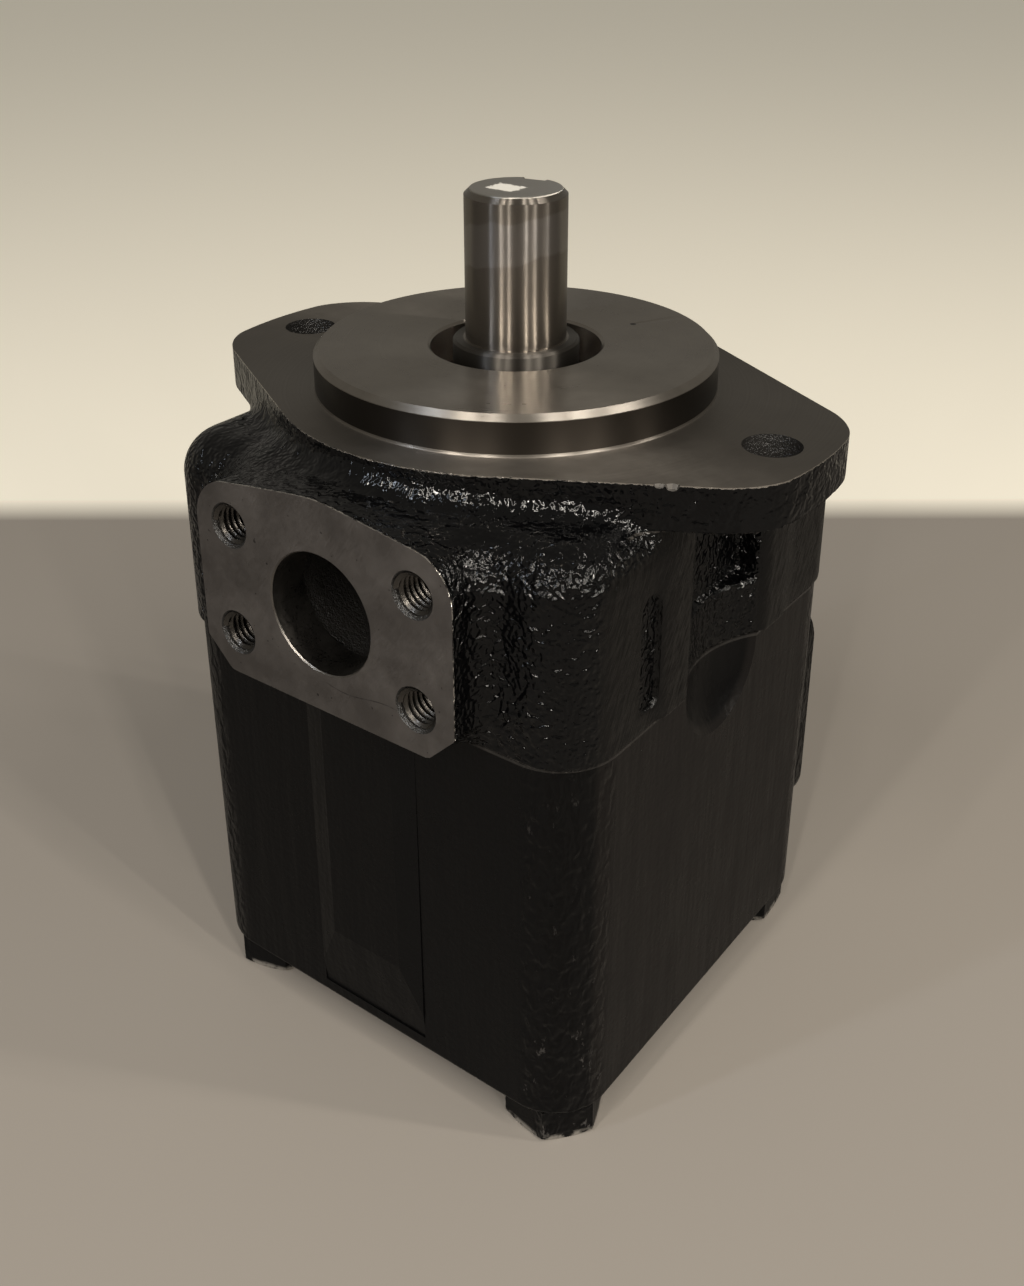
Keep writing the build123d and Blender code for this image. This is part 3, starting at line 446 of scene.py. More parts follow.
# %% Helper: start a material
class Finish(Nodes):
    """A Principled material, with the patterns that the finishes below are made of."""

    def __init__(self, name, color, metallic, roughness, **sockets):
        self.material = bpy.data.materials.new(name)
        self.material.use_nodes = True
        super().__init__(self.material.node_tree)
        self.shader = self.tree.nodes["Principled BSDF"]
        self.set("Base Color", (*color, 1))
        self.set("Metallic", metallic)
        self.set("Roughness", roughness)
        for label, value in sockets.items():
            self.set(label.replace("_", " "), value)
        self.place = self.add("ShaderNodeTexCoord").outputs["Object"]
        self.bump_out = None

    def set(self, label, value):
        self.shader.inputs[label].default_value = value

    def drive(self, label, value):
        self.link(value, self.shader.inputs[label])

    def axis(self, name):
        """One Object coordinate, in metres."""
        node = self.add("ShaderNodeSeparateXYZ")
        self.link(self.place, node.inputs["Vector"])
        return node.outputs[name]

    def away(self, name):
        """Distance from the middle along one axis, the same on both sides."""
        return self.math("ABSOLUTE", self.axis(name))

    def radius(self):
        """Distance from the shaft's axis: the root of the sum of two squares."""
        squares = [self.math("POWER", self.axis(name), 2.0) for name in "XY"]
        return self.math("SQRT", self.plus(*squares))

    def stretch(self, scale, turn=(0, 0, 0)):
        """Object coordinates times a scale for each axis, after a turn."""
        node = self.add("ShaderNodeMapping", vector_type="TEXTURE")
        node.inputs["Rotation"].default_value = turn
        node.inputs["Scale"].default_value = [1 / s for s in scale]
        self.link(self.place, node.inputs["Vector"])
        return node.outputs["Vector"]

    def noise(self, size, detail=2.0, rough=0.5, vector=None, distortion=0.0):
        """Noise whose blobs are about size metres across."""
        node = self.add("ShaderNodeTexNoise")
        node.inputs["Scale"].default_value = 1 / size
        node.inputs["Detail"].default_value = detail
        node.inputs["Roughness"].default_value = rough
        node.inputs["Distortion"].default_value = distortion
        self.link(vector or self.place, node.inputs["Vector"])
        return node.outputs["Fac"]

    def rings(self, width, detail):
        """Noise along the distance from the shaft's axis: turning marks about width metres wide."""
        node = self.add("ShaderNodeTexNoise", noise_dimensions="1D")
        node.inputs["Scale"].default_value = 1 / width
        node.inputs["Detail"].default_value = detail
        self.link(self.radius(), node.inputs["W"])
        return node.outputs["Fac"]

    def round_grain(self):
        """Tangent round the shaft's axis, for the grain that turning and grinding leave."""
        return self.add("ShaderNodeTangent", direction_type="RADIAL", axis="Z").outputs["Tangent"]

    def bump(self, height, depth):
        """Bump of that depth in metres, on top of the bumps made before it."""
        node = self.add("ShaderNodeBump")
        node.inputs["Distance"].default_value = depth
        self.link(height, node.inputs["Height"])
        if self.bump_out:
            self.link(self.bump_out, node.inputs["Normal"])
        self.bump_out = node.outputs["Normal"]
        self.link(self.bump_out, self.shader.inputs["Normal"])


# %% Levels in metres that the finishes follow
side_face = cap_half * MM
flange_foot = -flange_thickness * MM
joint = joint_level * MM
spigot_edge = pilot_radius * MM
spigot_top = pilot_top * MM
shaft_tip = shaft_end * MM
feet = standing_level * MM
milled_side = suction_face * MM
highlight_half = 0.05
highlight_start = 0.066
housing_side = 0.0775
corner_start = 0.1395
stain_level = -0.0652
collar_start = 0.0163
film_levels = (0.0395, 0.0535)
dab_width = (-0.0072, 0.0031)
dab_height = (-0.0062, 0.0019)
print("flange foot", round(flange_foot, 4), "joint", round(joint, 4), "feet", round(feet, 4))

# %% [markdown]
# Gloss paint on the front casting
#
# The front body is brushed with thick gloss paint over rough sand-cast iron. A finer mesh could
# carry each lump, but it would need millions of faces. So the lumps are bumps of noise in three
# sizes, held back by masks where the real face is smooth.

# %% Black paint on rough cast iron
def cast_paint():
    """Thick gloss paint that follows sand grain: lumps, orange peel and small bright facets. The two
    faces beside the mounting holes are smoother, with slanting brush marks, and a shade lighter as
    painted sheen. Where a machined face meets it, a thin line of bare iron is chipped paint and a
    painted highlight on the sharp edge. A pale grey line under the flange's ends and at the joint is
    painted highlight."""
    black, side_sheen = (0.0011, 0.0011, 0.0013), (0.0015, 0.0013, 0.0012)
    highlight_grey, bare_iron = (0.055, 0.05, 0.045), (0.66, 0.62, 0.57)
    brush_slant = radians(-28)
    f = Finish("cast_paint", black, 0.0, 0.1, Specular_IOR_Level=0.33)
    z = f.axis("Z")
    side = f.away("X")
    smooth = f.band(side, side_face - 0.0012, side_face + 0.0028, 0.0008)
    smooth = f.times(smooth, f.range(z, flange_foot - 0.001, flange_foot, 1.0, 0.0))
    rim = f.range(z, flange_foot - 0.0005, flange_foot + 0.001)
    grainy = f.times(f.range(smooth, 0.0, 1.0, 1.0, 0.14), f.range(rim, 0.0, 1.0, 1.0, 0.4))

    patches = f.range(f.noise(0.03, 2.0, 0.5), 0.4, 0.62, 0.5, 1.5)
    f.bump(f.noise(0.006, 1.0, 0.5), 0.0009)
    f.bump(f.times(f.noise(0.0026, 1.0, 0.5, distortion=0.4), patches, grainy), 0.0015)
    f.bump(f.times(f.noise(0.0013, 0.0, 0.5), grainy), 0.0004)
    marks = f.noise(0.0016, 3.0, 0.6, f.stretch((1, 1, 0.16), turn=(brush_slant, 0, 0)))
    f.bump(f.times(marks, smooth), 0.0004)

    # The bare line follows the flange's face and the port's face, and wanders by a third of a
    # millimetre. It is chipped paint and a painted highlight on the sharp edge. These two heights are
    # in millimetres.
    chips = f.noise(0.0016, 3.0, 0.7)
    top = f.plus(f.times(z, 1 / MM), f.range(chips, 0.3, 0.7, -0.3, 0.3))
    front = f.plus(f.times(f.axis("Y"), -1 / MM), f.range(chips, 0.3, 0.7, -0.35, 0.3))
    bare = f.math("MAXIMUM", f.range(top, -0.38, -0.28), f.range(front, -port_face - 0.42, -port_face - 0.32))

    # A paler grey line is painted under the flange's two ends and at the joint: painted highlight on
    # these rounded edges.
    near = f.range(f.away("Y"), highlight_half, highlight_half + 0.0005, 1.0, 0.0)
    outer = f.range(side, highlight_start, highlight_start + 0.001)
    under = f.times(f.band(z, flange_foot - 0.0004, flange_foot + 0.0004), near, outer)
    edge_highlight = f.math("MAXIMUM", under, f.band(z, joint - 0.0004, joint + 0.0006))
    # The smooth side faces are a shade lighter: painted sheen.
    coat = f.mix(smooth, black, side_sheen)
    coat = f.mix(f.times(edge_highlight, f.range(chips, 0.4, 0.6, 0.1, 0.9)), coat, highlight_grey)
    f.drive("Metallic", bare)
    f.drive("Base Color", f.mix(bare, coat, bare_iron))
    dull = f.range(f.noise(0.02, 3.0, 0.6), 0.35, 0.7, 0.03, 0.09)
    f.drive("Roughness", f.plus(dull, f.times(smooth, 0.2), f.times(bare, 0.15)))
    return f.material


# %% [markdown]
# Satin paint on the rear housing
#
# This coat is thin and even, so it mirrors less and shows a cloudy sheen. Noise stretched upright
# gives its faint runs. The wear isn't drawn by hand: it follows each point's place, because
# handling reaches the corners and the bolt heads first.

# %% Smooth black paint of the rear housing
def satin_paint():
    """Satin paint on a smooth casting: faint runs down the faces, small pimples and scuffs, and a
    thicker, glossier peel on the upright corners. The faces across X are painted lighter, as painted
    sheen, and a pale line along the joint's edge is painted highlight. The suction port's face is
    milled bare, with the same faint clouds as the pressure port's."""
    dark, side_sheen, scuffed = (0.0014, 0.0013, 0.0014), (0.0062, 0.0053, 0.0049), (0.012, 0.011, 0.0105)
    seam_highlight_grey, speck_grey, rubbed_iron = (0.07, 0.065, 0.06), (0.07, 0.066, 0.062), (0.2, 0.185, 0.165)
    iron_dark, iron_light = (0.19, 0.178, 0.168), (0.26, 0.243, 0.23)
    f = Finish("satin_paint", dark, 0.0, 0.3, Specular_IOR_Level=0.22)
    z = f.axis("Z")
    f.bump(f.noise(0.012, 3.0, 0.6, f.stretch((1, 1, 0.12))), 0.0007)
    f.bump(f.noise(0.0022, 2.0, 0.5), 0.00012)
    corner = f.range(f.plus(f.away("X"), f.away("Y")), corner_start, corner_start + 0.002)
    peel = f.plus(f.noise(0.003, 1.0, 0.5, f.stretch((1, 1, 0.6)), 0.4), -0.5)
    f.bump(f.times(peel, corner), 0.0014)

    bare = f.range(f.axis("Y"), milled_side - 0.00006, milled_side - 0.00002)
    cloud = f.noise(0.03, 4.0, 0.6)
    dull = f.range(cloud, 0.3, 0.75, 0.22, 0.4)
    f.drive("Roughness", f.plus(dull, f.times(bare, 0.12), f.times(corner, -0.14)))
    f.drive("Metallic", bare)

    scuff = f.noise(0.004, 4.0, 0.7, f.stretch((1, 1, 0.3)))
    # The faces across X are painted lighter: painted sheen on the sides that take the light.
    coat = f.mix(f.range(f.away("X"), housing_side, housing_side + 0.001), dark, side_sheen)
    coat = f.mix(f.range(scuff, 0.72, 0.86, 0.0, 0.8), coat, scuffed)
    # A pale grey line along the top edge at the joint is painted highlight, broken up by the scuffs.
    edge = f.band(z, joint - 0.0009, joint + 0.0002)
    coat = f.mix(f.times(edge, 0.6, scuff), coat, seam_highlight_grey)

    # Handling has worn the upright corners to pale specks, most of them low down, and the bolt
    # heads' rims to bare iron.
    low = f.range(z, -0.2, -0.13, 1.0, 0.25)
    specks = f.range(f.noise(0.0042, 4.0, 0.75, f.stretch((1, 1, 0.5))), 0.62, 0.68, 0.0, 0.75)
    coat = f.mix(f.times(specks, corner, low), coat, speck_grey)
    rim = f.range(z, feet + 0.0012, feet + 0.0026, 1.0, 0.0)
    rubbed = f.times(rim, f.range(f.noise(0.005, 3.0, 0.6), 0.42, 0.55, 0.0, 0.9))
    coat = f.mix(rubbed, coat, rubbed_iron)
    f.drive("Base Color", f.mix(bare, coat, f.mix(f.range(cloud, 0.35, 0.68), iron_dark, iron_light)))
    return f.material


# %% [markdown]
# Turned iron
#
# The flange's face and the spigot are bare, with the fine rings that a lathe tool leaves. Rings
# in the mesh would flicker from afar. An anisotropic shader draws each reflection out across
# them instead, by a tangent that runs round the shaft's axis.

# %% Turned faces of the flange and spigot
def turned_steel():
    """Bare cast iron from a lathe: fine rings round the shaft's axis, warm grey, a little mottled.
    The spigot's side is painted much darker, as painted shade, and the flange's face is duller."""
    iron_dark, iron_light = (0.29, 0.263, 0.233), (0.36, 0.33, 0.294)
    flange_oil, spigot_shade = (0.04, 0.036, 0.031), (0.042, 0.036, 0.03)
    f = Finish("turned_steel", iron_dark, 1.0, 0.3, Anisotropic=0.8, Anisotropic_Rotation=0.25)
    f.drive("Tangent", f.round_grain())
    rings = f.rings(0.0006, 3.0)
    cloud = f.noise(0.018, 4.0, 0.65)
    z = f.axis("Z")
    flange = f.range(z, 0.0002, 0.0005, 1.0, 0.0)
    outer = f.range(f.radius(), spigot_edge - 0.0003, spigot_edge - 0.0002)
    wall = f.times(f.band(z, 0.0011, spigot_top - 0.0019), outer)
    ringed = f.plus(f.range(rings, 0.3, 0.7, 0.27, 0.33), f.range(cloud, 0.3, 0.7, -0.02, 0.04))
    f.drive("Roughness", f.plus(ringed, f.times(flange, 0.12), f.times(wall, 0.1)))
    iron = f.mix(f.range(cloud, 0.3, 0.7), iron_dark, iron_light)
    iron = f.mix(f.times(flange, 0.46), iron, flange_oil)
    # The spigot's upright side is painted dark: painted shade.
    f.drive("Base Color", f.mix(wall, iron, spigot_shade))
    f.bump(rings, 0.000006)
    return f.material


# %% [markdown]
# Milled iron, and the cast wall behind it
#
# The port's face is a dull grey with a grain both ways, where the cutter's teeth have crossed
# their own marks. One function makes it, and also the bore, the threads and the chips, which
# differ in colour and roughness only. The threads are painted much darker, as painted shade inside
# their holes. The passage behind the bore stays as it was cast, and its dark finish also lines the
# drilled holes, where it is painted shade.

# %% Milled face of the pressure port
def milled_steel(name="milled_steel", color=(0.225, 0.209, 0.199), roughness=0.42):
    """Flat milled iron: fine scratches both ways, faint clouds and a few stains."""
    dark, light, stained = (tuple(share * k for k in color) for share in (0.84, 1.18, 0.2))
    f = Finish(name, color, 1.0, roughness)
    fine = f.noise(0.0006, 4.0, 0.7, f.stretch((1, 1, 0.12), turn=(0, radians(35), 0)))
    cross = f.noise(0.0008, 4.0, 0.7, f.stretch((1, 1, 0.15), turn=(0, radians(-50), 0)))
    cloud = f.noise(0.016, 4.0, 0.62)
    f.bump(fine, 0.00002)
    f.bump(cross, 0.00002)
    scratched = f.range(fine, 0.3, 0.7, roughness - 0.06, roughness + 0.08)
    f.drive("Roughness", f.plus(scratched, f.range(cloud, 0.3, 0.7, -0.04, 0.05)))
    pits = f.range(f.noise(0.0018, 1.0, 0.5), 0.76, 0.79, 0.0, 0.8)

    # An old gasket has left one thin wavy stain near the lower edge of the pressure port.
    x, z = f.axis("X"), f.axis("Z")
    wave = f.times(f.math("SINE", f.times(x, 190.0)), 0.0011)
    line = f.band(f.plus(z, wave), stain_level, stain_level + 0.0005, 0.0002)
    broken_up = f.range(f.noise(0.002, 2.0, 0.6), 0.35, 0.6, 0.15, 0.75)
    stain = f.times(line, f.band(x, 0.0, 0.03, 0.003), broken_up)
    iron = f.mix(f.range(cloud, 0.35, 0.68), dark, light)
    f.drive("Base Color", f.mix(f.math("MAXIMUM", pits, stain), iron, stained))
    return f.material


# %% Rough cast wall inside the ports, dark as painted shade in the drilled holes
def gallery_iron():
    """As cast and oily: dark, grainy, with small wet glints. In the drilled holes and the pit its dark
    colour is painted shade.
    """
    f = Finish("gallery_iron", (0.014, 0.013, 0.012), 0.0, 0.3, Specular_IOR_Level=0.6)
    f.bump(f.noise(0.0016, 4.0, 0.7), 0.0007)
    f.bump(f.noise(0.0005, 2.0, 0.6), 0.00015)
    return f.material


# %% [markdown]
# The ground shaft
#
# Grinding leaves a grain too fine to see, but each narrow lamp becomes a bright upright line in
# it. The anisotropic shader does that at full strength. The film, the specks and the dab are
# placed by Object coordinates, so they turn with the shaft.

# %% Ground steel of the shaft
def ground_steel():
    """Ground round the axis, so highlights run along the shaft as bright lines."""
    plain, filmed, pitted = (0.26, 0.235, 0.207), (0.42, 0.4, 0.39), (0.05, 0.045, 0.04)
    collar_steel, end_steel, white = (0.12, 0.11, 0.098), (0.62, 0.59, 0.54), (0.72, 0.7, 0.64)
    f = Finish("ground_steel", plain, 1.0, 0.27, Anisotropic=1.0, Anisotropic_Rotation=0.25)
    x, y, z = (f.axis(name) for name in "XYZ")

    # The end face is faced, not ground round, so its grain lies one way.
    end = f.range(z, shaft_tip - 0.0003, shaft_tip - 0.0002)
    f.drive("Tangent", f.mix(end, f.round_grain(), (0.6, -0.8, 0.0)))
    f.bump(f.noise(0.0016, 3.0, 0.6, f.stretch((0.02, 0.02, 1))), 0.000004)
    cloud = f.noise(0.012, 4.0, 0.6)
    collar = f.range(f.radius(), collar_start, collar_start + 0.0005)
    dull = f.range(cloud, 0.3, 0.7, 0.21, 0.25)
    f.drive("Roughness", f.plus(dull, f.times(end, 0.3), f.times(collar, 0.2)))

    # A smear of dried film runs slantwise round the upper end.
    slant = f.plus(z, f.times(x, -0.22))
    level = f.plus(slant, f.range(f.noise(0.01, 2.0, 0.5), 0.3, 0.7, -0.0012, 0.0012))
    film = f.band(level, *film_levels, 0.0008)
    specks = f.range(f.noise(0.0014, 2.0, 0.7), 0.76, 0.8, 1.0, 0.25)
    steel = f.mix(f.times(film, 0.5), plain, filmed)
    steel = f.mix(collar, steel, collar_steel)
    steel = f.mix(end, steel, end_steel)
    steel = f.mix(specks, pitted, steel)

    # A dab of white paint is left on the end face.
    ragged = f.range(f.noise(0.0022, 3.0, 0.7), 0.3, 0.7, -0.001, 0.001)
    u = f.plus(x, ragged)
    v = f.plus(y, f.times(ragged, -0.8))
    dab = f.times(f.band(u, *dab_width, 0.0003), f.band(v, *dab_height, 0.0003), end)
    f.drive("Base Color", f.mix(dab, steel, white))
    f.drive("Metallic", f.math("SUBTRACT", 1.0, dab))
    return f.material


# %% [markdown]
# The pieces inside
#
# Bearing, rotor, vanes and rings are clean and oiled, with no wear to tell. One metal with a fine
# even grain serves them in five colours, and the seals are black rubber.

# %% Plainer finishes of the inner pieces
def inner_steel(name, color, roughness, size):
    """Ground or pressed steel with a fine even grain."""
    f = Finish(name, color, 1.0, roughness)
    grain = f.noise(size, 3.0, 0.6)
    f.bump(grain, size * 0.02)
    f.drive("Roughness", f.range(grain, 0.3, 0.7, roughness - 0.06, roughness + 0.08))
    return f.material


def rubber():
    """Oil-wet rubber: black, softly shining, with a faint moulded grain."""
    f = Finish("seal_rubber", (0.012, 0.012, 0.012), 0.0, 0.38)
    f.bump(f.noise(0.0012, 2.0, 0.5), 0.00008)
    return f.material


# %% The finishes of what shows
paint = cast_paint()
satin = satin_paint()
turned_face = turned_steel()
milled_face = milled_steel()
# Dark cast iron, which in the drilled holes and the pit is painted shade.
hole_shade = gallery_iron()
bored_face = milled_steel("bored_steel", (0.2, 0.186, 0.17), 0.3)
ground = ground_steel()
chipped = milled_steel("chipped_iron", (0.12, 0.112, 0.103), 0.6)
# The threads are painted dark: painted shade inside the screw holes.
tapped_shade = milled_steel("tapped_iron", (0.1, 0.092, 0.083), 0.28)
print("finishes made", len(bpy.data.materials))

# %% [markdown]
# Cast, then machined
#
# The blank is netted first. Then come the cuts in the order of the shop: the lathe faces the
# flange, turns the spigot and bores the inside in one clamping, the mill faces the port, and
# the drills follow. Each tool carries the finish that it leaves, and the boolean hands it on.

# %% The front casting's blank
cap_pitch = 1.3
cap = make_mesh("front_casting", *net(cap_blank, cap_low, cap_high, cap_pitch))
weld(cap)
cap.data.materials.append(paint)
print("front casting", len(cap.data.vertices), "points")

# %% The lathe's cut
outside = 12
corner_radius = 0.9
corner_middle = 0.26
spigot_chamfer = 1.75
mouth_radius, mouth_chamfer = 27.0, 0.8
seal_bore, seal_top = 31.0, -2.0
bearing_bore, bearing_top = 40.0, -17.0
ring_groove, ring_top, ring_foot = 41.7, -35.1, -37.7
hub_bore, hub_top = 42.05, -40.0
chamber_bore, chamber_top = 57.0, -50.0
cartridge_bore, cartridge_top = 60.05, -65.0
below_joint = 6
turning = [
    (0, pilot_top + outside),
    (flange_reach + outside, pilot_top + outside),
    (flange_reach + outside, 0),
    (pilot_radius + corner_radius, 0),
    (pilot_radius + corner_middle, corner_middle),
    (pilot_radius, corner_radius),
    (pilot_radius, pilot_top - spigot_chamfer),
    (pilot_radius - spigot_chamfer, pilot_top),
    (mouth_radius + mouth_chamfer, pilot_top),
    (mouth_radius, pilot_top - mouth_chamfer),
    (mouth_radius, seal_top),
    (seal_bore, seal_top),
    (seal_bore, bearing_top),
    (bearing_bore, bearing_top),
    (bearing_bore, ring_top),
    (ring_groove, ring_top),
    (ring_groove, ring_foot),
    (bearing_bore, ring_foot),
    (bearing_bore, hub_top),
    (hub_bore, hub_top),
    (hub_bore, chamber_top),
    (chamber_bore, chamber_top),
    (chamber_bore, cartridge_top),
    (cartridge_bore, cartridge_top),
    (cartridge_bore, joint_level - below_joint),
    (0, joint_level - below_joint),
]
lathe = turned("lathe_tool", turning, 256)
lathe.data.materials.append(turned_face)
print("turning profile", len(turning), "points")

# %% Helpers: the mill and the drills
def box_tool(name, low, high, material):
    """A plain block for a facing cut."""
    x, y, z = (np.array([l, h]) for l, h in zip(low, high))
    points = np.stack(np.meshgrid(x, y, z, indexing="ij"), -1).reshape(-1, 3)
    faces = [(0, 1, 3, 2), (4, 6, 7, 5), (0, 4, 5, 1), (2, 3, 7, 6), (0, 2, 6, 4), (1, 5, 7, 3)]
    tool = make_mesh(name, points, faces, smooth=False)
    weld(tool)
    tool.data.materials.append(material)
    return tool


def drill(name, centre, axis, profile, material, segments):
    """A stepped drill: a turned solid whose profile runs along the axis."""
    tool = turned(name, profile, segments, centre, axis)
    tool.data.materials.append(material)
    return tool


def straight(radius, start, end):
    """Profile of a plain hole from start to end along its axis."""
    return [(0, start), (radius, start), (radius, end), (0, end)]


def broken(radius, start, end, chamfer):
    """Profile of a hole whose rim, at level 0, is broken by a chamfer."""
    wide = radius + chamfer
    return [(0, start), (wide, start), (wide, 0), (radius, chamfer), (radius, end), (0, end)]


four_ways = [(1, 1), (1, -1), (-1, 1), (-1, -1)]

# %% The port: its face, its bore and its four screw holes
facing_half, facing_low, facing_high, facing_depth = 70, -90, 5, 10
bore_start, bore_chamfer, lip_depth, lip_overlap = -5, 0.4, 14.0, 0.5
gallery_radius, gallery_end = 20.5, 44
screw_start, screw_end, screw_chamfer = -3, 27, 0.9
port_centre = (0, port_face, port_level)
bore = broken(port_bore, bore_start, lip_depth, bore_chamfer)
gallery_hole = straight(gallery_radius, lip_depth - lip_overlap, gallery_end)
facing = [(-facing_half, port_face - facing_depth, facing_low), (facing_half, port_face, facing_high)]
tools = [
    box_tool("port_facing", *facing, milled_face),
    drill("port_gallery", port_centre, "Y", gallery_hole, hole_shade, 96),
    drill("port_bore", port_centre, "Y", bore, bored_face, 96),
]
screw_dims = mounts["pressure_port_bolts"]["dims"]
screw_hole = broken(screw_dims["hole_r_mm"], screw_start, screw_end, screw_chamfer)
screw_x, screw_z = screw_dims["spacing_x_mm"] / 2, screw_dims["spacing_y_mm"] / 2
for sx, sz in four_ways:
    place = (sx * screw_x, port_face, port_level + sz * screw_z)
    tools.append(drill("screw_drill", place, "Y", screw_hole, hole_shade, 48))
print("tools for the port", len(tools))

# %% The mounting holes and the long bolts' holes
flange_overrun, joint_overrun = 8, 5
flange_hole_radius = mounts["mounting_bolts"]["dims"]["hole_r_mm"]
flange_hole = straight(flange_hole_radius, -flange_thickness - flange_overrun, flange_overrun)
for side in (1, -1):
    # The mounting holes' walls take the dark finish: painted shade.
    tools.append(drill("flange_drill", (side * bolt_circle, 0, 0), "Z", flange_hole, hole_shade, 64))
bolt_place, bolt_hole_radius, bolt_hole_end = 61.4, 9.55, -36
bolt_hole = straight(bolt_hole_radius, joint_level - joint_overrun, bolt_hole_end)
for sx, sy in four_ways:
    tools.append(drill("bolt_drill", (sx * bolt_place, sy * bolt_place, 0), "Z", bolt_hole, milled_face, 48))
print("tools in all", len(tools))

# %% Chips and pits from handling
nicks = {
    "flange_chip": ((79.4, -43.0, 0.5), 2.3, chipped),
    "flange_nick": ((82.4, -41.3, 0.2), 2.6, chipped),
    "spigot_pit": ((20.2, 36.7, pilot_top + 0.9), 1.5, hole_shade),
    "spigot_nick": ((18.9, -61.2, pilot_top + 0.6), 1.6, milled_face),
}
for name, (place, size, material) in nicks.items():
    profile = [(0, -size), (size * 0.7, -size * 0.6), (size, 0), (size * 0.7, size * 0.6), (0, size)]
    tools.append(drill(name, place, "Z", profile, material, 9))
print("chips and pits", len(nicks))

# %% All the cuts at once
smooth_below = radians(32)
cut(cap, [lathe, *tools])
cap.data.set_sharp_from_angle(angle=smooth_below)
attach(cap, "casing")
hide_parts("front_cap")
print("machined casting", len(cap.data.polygons), "faces, materials", [m.name for m in cap.data.materials])

# %% [markdown]
# Threads in the ports' screw holes
#
# The solid model leaves the holes plain, at the thread's outer size. Here each gets the ridge
# that a tap leaves, as one closed strip wound on a helix, its back sunk a little in the wall.

# %% Threads
turn_steps = 40
ridge_share = 0.54
sunk = 0.15
foot_half, crest_half = 0.5, 0.09
pitch_share = 0.97


def thread(name, centre, size, pitch, depth, material):
    """A right-hand ridge: a flat-topped V section carried along (r cos t, r sin t, pitch t / 2 pi)."""
    tip = size - ridge_share * pitch
    foot = size + sunk
    section = np.array([(foot, -foot_half), (tip, -crest_half), (tip, crest_half), (foot, foot_half)])
    section[:, 1] *= pitch * pitch_share
    t = np.arange(0, 2 * pi * (depth / pitch - 1), 2 * pi / turn_steps)[:, None]
    along = pitch * (0.5 + t / (2 * pi)) + section[:, 1]
    ring = np.stack([-section[:, 0] * np.cos(t), along, section[:, 0] * np.sin(t)], -1)
    if centre[1] > 0:
        ring = ring * (-1, -1, 1)
    here = np.arange(4)
    after = (here + 1) % 4
    start = 4 * np.arange(len(t) - 1)[:, None]
    quads = np.stack([start + here, start + after, start + 4 + after, start + 4 + here], -1)
    last = 4 * (len(t) - 1)
    ends = [(3, 2, 1, 0), (last, last + 1, last + 2, last + 3)]
    faces = np.concatenate([quads.reshape(-1, 4), ends])
    piece = make_mesh(name, ring.reshape(-1, 3) + np.array(centre), faces, smooth=False)
    weld(piece)
    piece.data.materials.append(material)
    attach(piece, "casing")


pressure_pitch, pressure_depth = 1.954, 24.0
suction_pitch, suction_depth = 2.309, 18.0
ports = {
    "pressure": (port_face, pressure_pitch, pressure_depth),
    "suction": (suction_face, suction_pitch, suction_depth),
}
threads = 0
for port, (face, pitch, depth) in ports.items():
    mount = mounts[f"{port}_port_bolts"]
    dims = mount["dims"]
    level = mount["pos_m"][2] / MM
    for sx, sz in four_ways:
        place = (sx * dims["spacing_x_mm"] / 2, face, level + sz * dims["spacing_y_mm"] / 2)
        threads += 1
        thread(f"{port}_thread_{threads}", place, dims["hole_r_mm"], pitch, depth, tapped_shade)
print("threads cut", threads)

# %% [markdown]
# The pieces that keep their shape
#
# The rear housing, the shaft, the bolts and all that turns inside are good as they come from the
# frame: turned, ground or cast to plain shapes. They get a finish only. Most of them are hidden
# while the pump is whole, but each has the look of its own metal when it is taken out alone.

# %% Finishes on the pieces that keep their shape
def finish(names, material):
    """Gives the named CAD pieces one finish."""
    for name in names:
        mesh = nodes[name].data
        mesh.materials.clear()
        mesh.materials.append(material)


finish(["rear_housing"], satin)
finish([name for name in nodes if name.startswith("housing_bolt")], satin)
finish(["shaft"], ground)
hard = inner_steel("hardened_steel", (0.52, 0.51, 0.5), 0.3, 0.0012)
bright = inner_steel("bearing_steel", (0.66, 0.66, 0.65), 0.16, 0.002)
blued = inner_steel("spring_steel", (0.14, 0.14, 0.16), 0.34, 0.001)
plate = inner_steel("plate_iron", (0.36, 0.345, 0.32), 0.4, 0.0016)
bronze = inner_steel("bush_bronze", (0.62, 0.41, 0.19), 0.36, 0.001)
black_rubber = rubber()
finish([name for name in nodes if name.startswith("vane_")], hard)
finish(["cam_ring", "rotor", "dowel_pin_1", "dowel_pin_2"], hard)
finish(["bearing_inner_ring", "bearing_outer_ring", "bearing_balls"], bright)
finish(["seal_case", "seal_spring", "bearing_cage"], blued)
finish(["bearing_circlip", "shaft_circlip", "cartridge_screw_1", "cartridge_screw_2"], blued)
finish(["front_plate", "rear_plate"], plate)
finish(["rear_bush"], bronze)
finish(["seal_lip", "plate_hub_ring", "plate_rim_ring", "cap_ring"], black_rubber)
print("finishes made", len(bpy.data.materials))

# %% [markdown]
# Floor and light
#
# Black gloss paint shows little but what it mirrors, so the stage is kept plain. The floor is one
# large plane in two pale tones that meet well behind the pump. The light comes from six narrow
# upright lamps: each draws a bright line on the ground shaft and a row of glints on the lumpy
# paint that faces it. Broad lamps would turn both to an even grey.

# %% Floor
floor_half = 4000
floor_gap = 0.05
change_start, change_end = 0.345, 0.375
near_tone, far_tone, mirrored_tone = (0.3, 0.272, 0.241), (0.85, 0.8, 0.68), (0.02, 0.02, 0.02)


